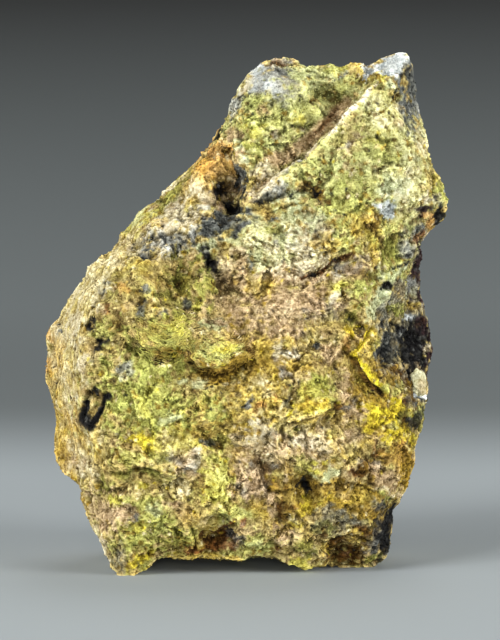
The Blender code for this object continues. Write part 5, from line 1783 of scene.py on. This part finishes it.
@dataclass
class FibreCover:
    """Loose fibres that lie along the plaits, each a thin closed blade. Lengths are millimetres.

    Their number is for_each_mm2 times the length and the half width of each stretch.
    """

    name: str
    for_each_mm2: float
    shortest: float
    longest: float
    thickness: float
    seed: int
    step: float = 0.2
    steepest: float = 0.75
    stray: float = 0.34
    width_range: tuple[float, float] = (0.7, 1.6)
    jitter: tuple[float, float] = (0.8, 1.2)
    lift: float = 0.3
    brightness: tuple[float, float] = (0.6, 1.35)
    # A painted highlight: it lifts the fibres' colour through the material's painted shading
    painted_relief_shading: float = 0.5

    def build(self, stone: CrustedStone, plaits: tuple) -> bpy.types.Object:
        """Lays the fibres on the stone.

        Args:
            stone: The finished stone.
            plaits: The plaits that get fibres.

        Returns:
            All fibres as one piece.
        """
        draw = np.random.default_rng(self.seed)
        ball, faces = unit_shape(bmesh.ops.create_icosphere, subdivisions=1, radius=0.5)
        shapes, hosts = [], []
        for line, half_width, _ in plaits:
            for start, end in zip(line, line[1:]):
                run = Vector(end) - Vector(start)
                for _ in range(int(run.length * half_width * self.for_each_mm2)):
                    aside = Vector((-run.y, run.x)).normalized() * half_width * draw.uniform(-1.0, 1.0)
                    middle = Vector(start) + run * draw.random() + aside
                    place, normal, number = stone.spot(*middle)
                    ahead, _, _ = stone.spot(*(middle + self.step * run.normalized()))
                    along = (ahead - place).normalized()
                    if abs(along.dot(EYE.ahead)) > self.steepest:
                        continue
                    along = (along + self.stray * Vector(draw.normal(size=3))).normalized()
                    over = normal.cross(along).normalized()
                    size = draw.uniform(self.shortest, self.longest)
                    wide = self.thickness * draw.uniform(*self.width_range)
                    frame_rows = np.array((along * size, over * wide, along.cross(over) * self.thickness))
                    shape = (ball * draw.uniform(*self.jitter, (len(ball), 1))) @ frame_rows
                    shapes.append(shape + np.array(place + normal * self.lift * self.thickness))
                    hosts.append(stone.skin.faces[number, 0])
        bright = draw.uniform(*self.brightness, len(shapes))
        fibres = Strewn(self.name, np.array(shapes), faces, np.array(hosts), bright, self.painted_relief_shading)
        return fibres.build(stone.coat)


@dataclass(frozen=True)
class Flake:
    """A pale flake of chalky mineral that stuck to the stone. Lengths are millimetres.

    The inset is how far left of its middle it touches the stone, and the tip how much it faces the eye.
    """

    name: str
    across: float
    up: float
    half_width: float
    half_height: float
    thickness: float
    turn: float
    seed: int
    inset: float = 0.4
    tip: float = 0.9
    swell: float = 0.35
    break_rise: float = 0.07
    blush: float = 0.7

    def build(self, stone: CrustedStone) -> bpy.types.Object:
        """Makes the flake where it lies on the stone.

        Args:
            stone: The finished stone.

        Returns:
            The flake.
        """
        place, normal, _ = stone.spot(self.across - self.inset, self.up)
        ball, faces = unit_shape(bmesh.ops.create_icosphere, subdivisions=5, radius=1.0)
        middle = Vector(EYE.row_place(self.across, self.up, EYE.drawing_places(np.array([place]))[0, 2]))
        right = Vector((1.0, 0.0, 0.0))
        outward = (normal - self.tip * Vector(EYE.ahead)).normalized()
        upward = outward.cross(right).normalized()
        right = upward.cross(outward)
        turned = Quaternion(outward, math.radians(self.turn))
        rows = np.array((
            turned @ right * self.half_width, turned @ upward * self.half_height, outward * self.thickness,
        ))
        swell = 1.0 + self.swell * waves(ball, size=0.9, octaves=2, seed=self.seed)
        points = (ball * swell[:, None]) @ rows + np.array(middle)
        breaks = Chunks.at(points, size=0.45, seed=self.seed).facets()
        points += self.break_rise * breaks[:, None] * np.array(outward)
        shares = np.tile(0.5 * (Crust.BUFF.shares() + Crust.PALE.shares()), (len(points), 1))
        pinkish = blended(1.0, 0.3, np.hypot(ball[:, 0], ball[:, 1] + 0.1)) * blended(-0.2, 0.2, ball[:, 2])
        lay(shares, self.blush * pinkish, Crust.PEACH.shares())
        mesh = bpy.data.meshes.new(self.name)
        mesh.from_pydata((points * MM).tolist(), [], faces.tolist())
        # Its painted shading is noise with a lift: painted highlight and shade in specks, lighter overall
        Coat.from_weights(shares, 0.4 * waves(points, size=0.4, octaves=2, seed=self.seed) + 0.2).write(mesh)
        return shown(self.name, mesh)


# The soft lights, each (name, place in metres, side in metres, power in watts).
LIGHTS = (
    ("key_softbox", (-0.36, -0.40, 0.46), 0.26, 3.15),
    ("fill_softbox", (0.64, -0.42, 0.24), 0.50, 3.5),
    ("left_reflector", (-0.50, -0.20, 0.12), 0.25, 1.9),
    ("right_reflector", (0.45, -0.20, 0.16), 0.25, 1.6),
    ("front_reflector", (0.00, -0.75, 0.11), 0.20, 2.0),
    ("rim_softbox", (0.10, 0.25, 0.55), 0.30, 1.1),
)


@dataclass(frozen=True)
class Studio:
    """The pale sweep that the stone stands on, its soft lights and the camera.

    Lengths are metres, but the lens and the sensor are millimetres. The sweep climbs by an angle in degrees.
    """

    sweep_half_width: float = 0.9
    sweep_front: float = -0.7
    sweep_turn: float = 0.17
    sweep_radius: float = 0.35
    sweep_climb: float = 38.0
    sweep_steps: int = 10
    # Where the painted shade on the paper starts and ends, to the back and up the climb
    back_shade_range: tuple[float, float] = (0.06, 0.135)
    climb_range: tuple[float, float] = (0.004, 0.046)
    paper_roughness: float = 0.8
    lens: float = 253.1
    sensor: float = 36.0
    near_clip: float = 0.01
    lights_aim: tuple[float, float, float] = (0.0, 0.0, 0.025)
    # The paper's colours: the pale floor, then the painted shade that darkens it to the back and up the wall
    floor_hex: str = "#989fa1"
    back_shade_hex: str = "#656b6b"
    wall_shade_hex: str = "#1e201f"
    air_hex: str = "#9aa0a2"
    air_strength: float = 0.22

    def build(self) -> None:
        """Makes the sweep, the lights and the camera."""
        self.sweep()
        for name, place, size, power in LIGHTS:
            self.light(name, place, size, power)
        self.camera()
        world = bpy.data.worlds.new("studio_air")
        world.use_nodes = True
        background = world.node_tree.nodes["Background"]
        background.inputs["Color"].default_value = linear(self.air_hex)
        background.inputs["Strength"].default_value = self.air_strength
        bpy.context.scene.world = world
        bpy.context.scene.view_settings.view_transform = "Standard"

    def sweep(self) -> None:
        """Makes the floor with its curved back wall."""
        bm = bmesh.new()
        side = self.sweep_half_width
        start = [bm.verts.new((x, self.sweep_front, 0.0)) for x in (-side, side)]
        edge = bm.edges.new(start)
        pushed = bmesh.ops.extrude_edge_only(bm, edges=[edge])["geom"]
        verts = [item for item in pushed if isinstance(item, bmesh.types.BMVert)]
        bmesh.ops.translate(bm, verts=verts, vec=(0.0, self.sweep_turn - self.sweep_front, 0.0))
        edges = [item for item in pushed if isinstance(item, bmesh.types.BMEdge)]
        bmesh.ops.spin(
            bm, geom=verts + edges, cent=(0.0, self.sweep_turn, self.sweep_radius), axis=(1.0, 0.0, 0.0),
            angle=math.radians(self.sweep_climb), steps=self.sweep_steps,
        )
        bmesh.ops.recalc_face_normals(bm, faces=bm.faces[:])
        mesh = bpy.data.meshes.new("studio_sweep")
        bm.to_mesh(mesh)
        bm.free()
        for polygon in mesh.polygons:
            polygon.use_smooth = True
        sweep = shown("studio_sweep", mesh)
        mesh.materials.append(self.paper())

    def paper(self) -> bpy.types.Material:
        """Matt studio paper: pale on the floor, with painted shade that darkens it to the back and up the
        climb, where less light falls.
        """
        material = bpy.data.materials.new("studio_paper")
        material.use_nodes = True
        tree = material.node_tree
        shader = tree.nodes["Principled BSDF"]
        place = add_node(tree, "ShaderNodeTexCoord", {}, {}).outputs["Object"]
        split = add_node(tree, "ShaderNodeSeparateXYZ", {}, {"Vector": place})
        # Painted shade: the paper darkens towards the back and up the climb
        back = add_node(tree, "ShaderNodeMapRange", {"interpolation_type": "SMOOTHSTEP"}, {
            "Value": split.outputs["Y"], "From Min": self.back_shade_range[0], "From Max": self.back_shade_range[1],
        })
        climb = add_node(tree, "ShaderNodeMapRange", {}, {
            "Value": split.outputs["Z"], "From Min": self.climb_range[0], "From Max": self.climb_range[1],
        })
        back_shaded = add_node(tree, "ShaderNodeMix", {"data_type": "RGBA"}, {
            "Factor": back.outputs["Result"], "A": linear(self.floor_hex), "B": linear(self.back_shade_hex),
        })
        tone = add_node(tree, "ShaderNodeMix", {"data_type": "RGBA"}, {
            "Factor": climb.outputs["Result"], "A": back_shaded.outputs["Result"], "B": linear(self.wall_shade_hex),
        })
        tree.links.new(tone.outputs["Result"], shader.inputs["Base Color"])
        shader.inputs["Roughness"].default_value = self.paper_roughness
        return material

    def light(self, name: str, place: tuple[float, float, float], size: float, power: float) -> None:
        """Adds a square soft light that faces the stone.

        Args:
            name: The light's name.
            place: Where it stands, in metres.
            size: The length of its sides.
            power: Its power in watts.
        """
        lamp = bpy.data.lights.new(name, "AREA")
        lamp.size = size
        lamp.energy = power
        rig = shown(name, lamp)
        rig.location = place
        rig.rotation_euler = (Vector(self.lights_aim) - Vector(place)).to_track_quat("-Z", "Y").to_euler()

    def camera(self) -> None:
        """Puts the camera where the eye is."""
        lens = bpy.data.cameras.new("camera")
        lens.lens = self.lens
        lens.sensor_width = self.sensor
        lens.clip_start = self.near_clip
        camera = shown("camera", lens)
        camera.location = EYE.place * MM
        camera.rotation_euler = EYE.ahead.to_track_quat("-Z", "Y").to_euler()
        bpy.context.scene.camera = camera


def main() -> None:
    """Builds the stone, its grains and fibres, and the studio."""
    Studio().build()
    LOG.info("studio built")
    finish = CrustFinish().material()
    stone = CrustedStone()
    skin_piece = stone.build()
    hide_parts(NODE)
    pieces = [
        skin_piece,
        GrainCover("coarse_grains", 2200, 0.18, 0.36, 7).build(stone),
        GrainCover("sugary_grains", 8000, 0.12, 0.24, 13).build(stone),
        GrainCover("fine_grains", 16000, 0.10, 0.19, 19).build(stone),
        FibreCover("lip_fibres", 70.0, 0.35, 1.1, 0.08, 29).build(stone, LIPS),
        Flake("white_chip", 16.9, 19.4, 0.85, 1.6, 0.5, 12.0, 5).build(stone),
    ]
    for piece in pieces:
        piece.data.materials.append(finish)
        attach(piece, BODY)
        LOG.info("%s has %d triangles", piece.name, len(piece.data.polygons))


if __name__ == "__main__":
    logging.basicConfig(level=logging.INFO)
    main()
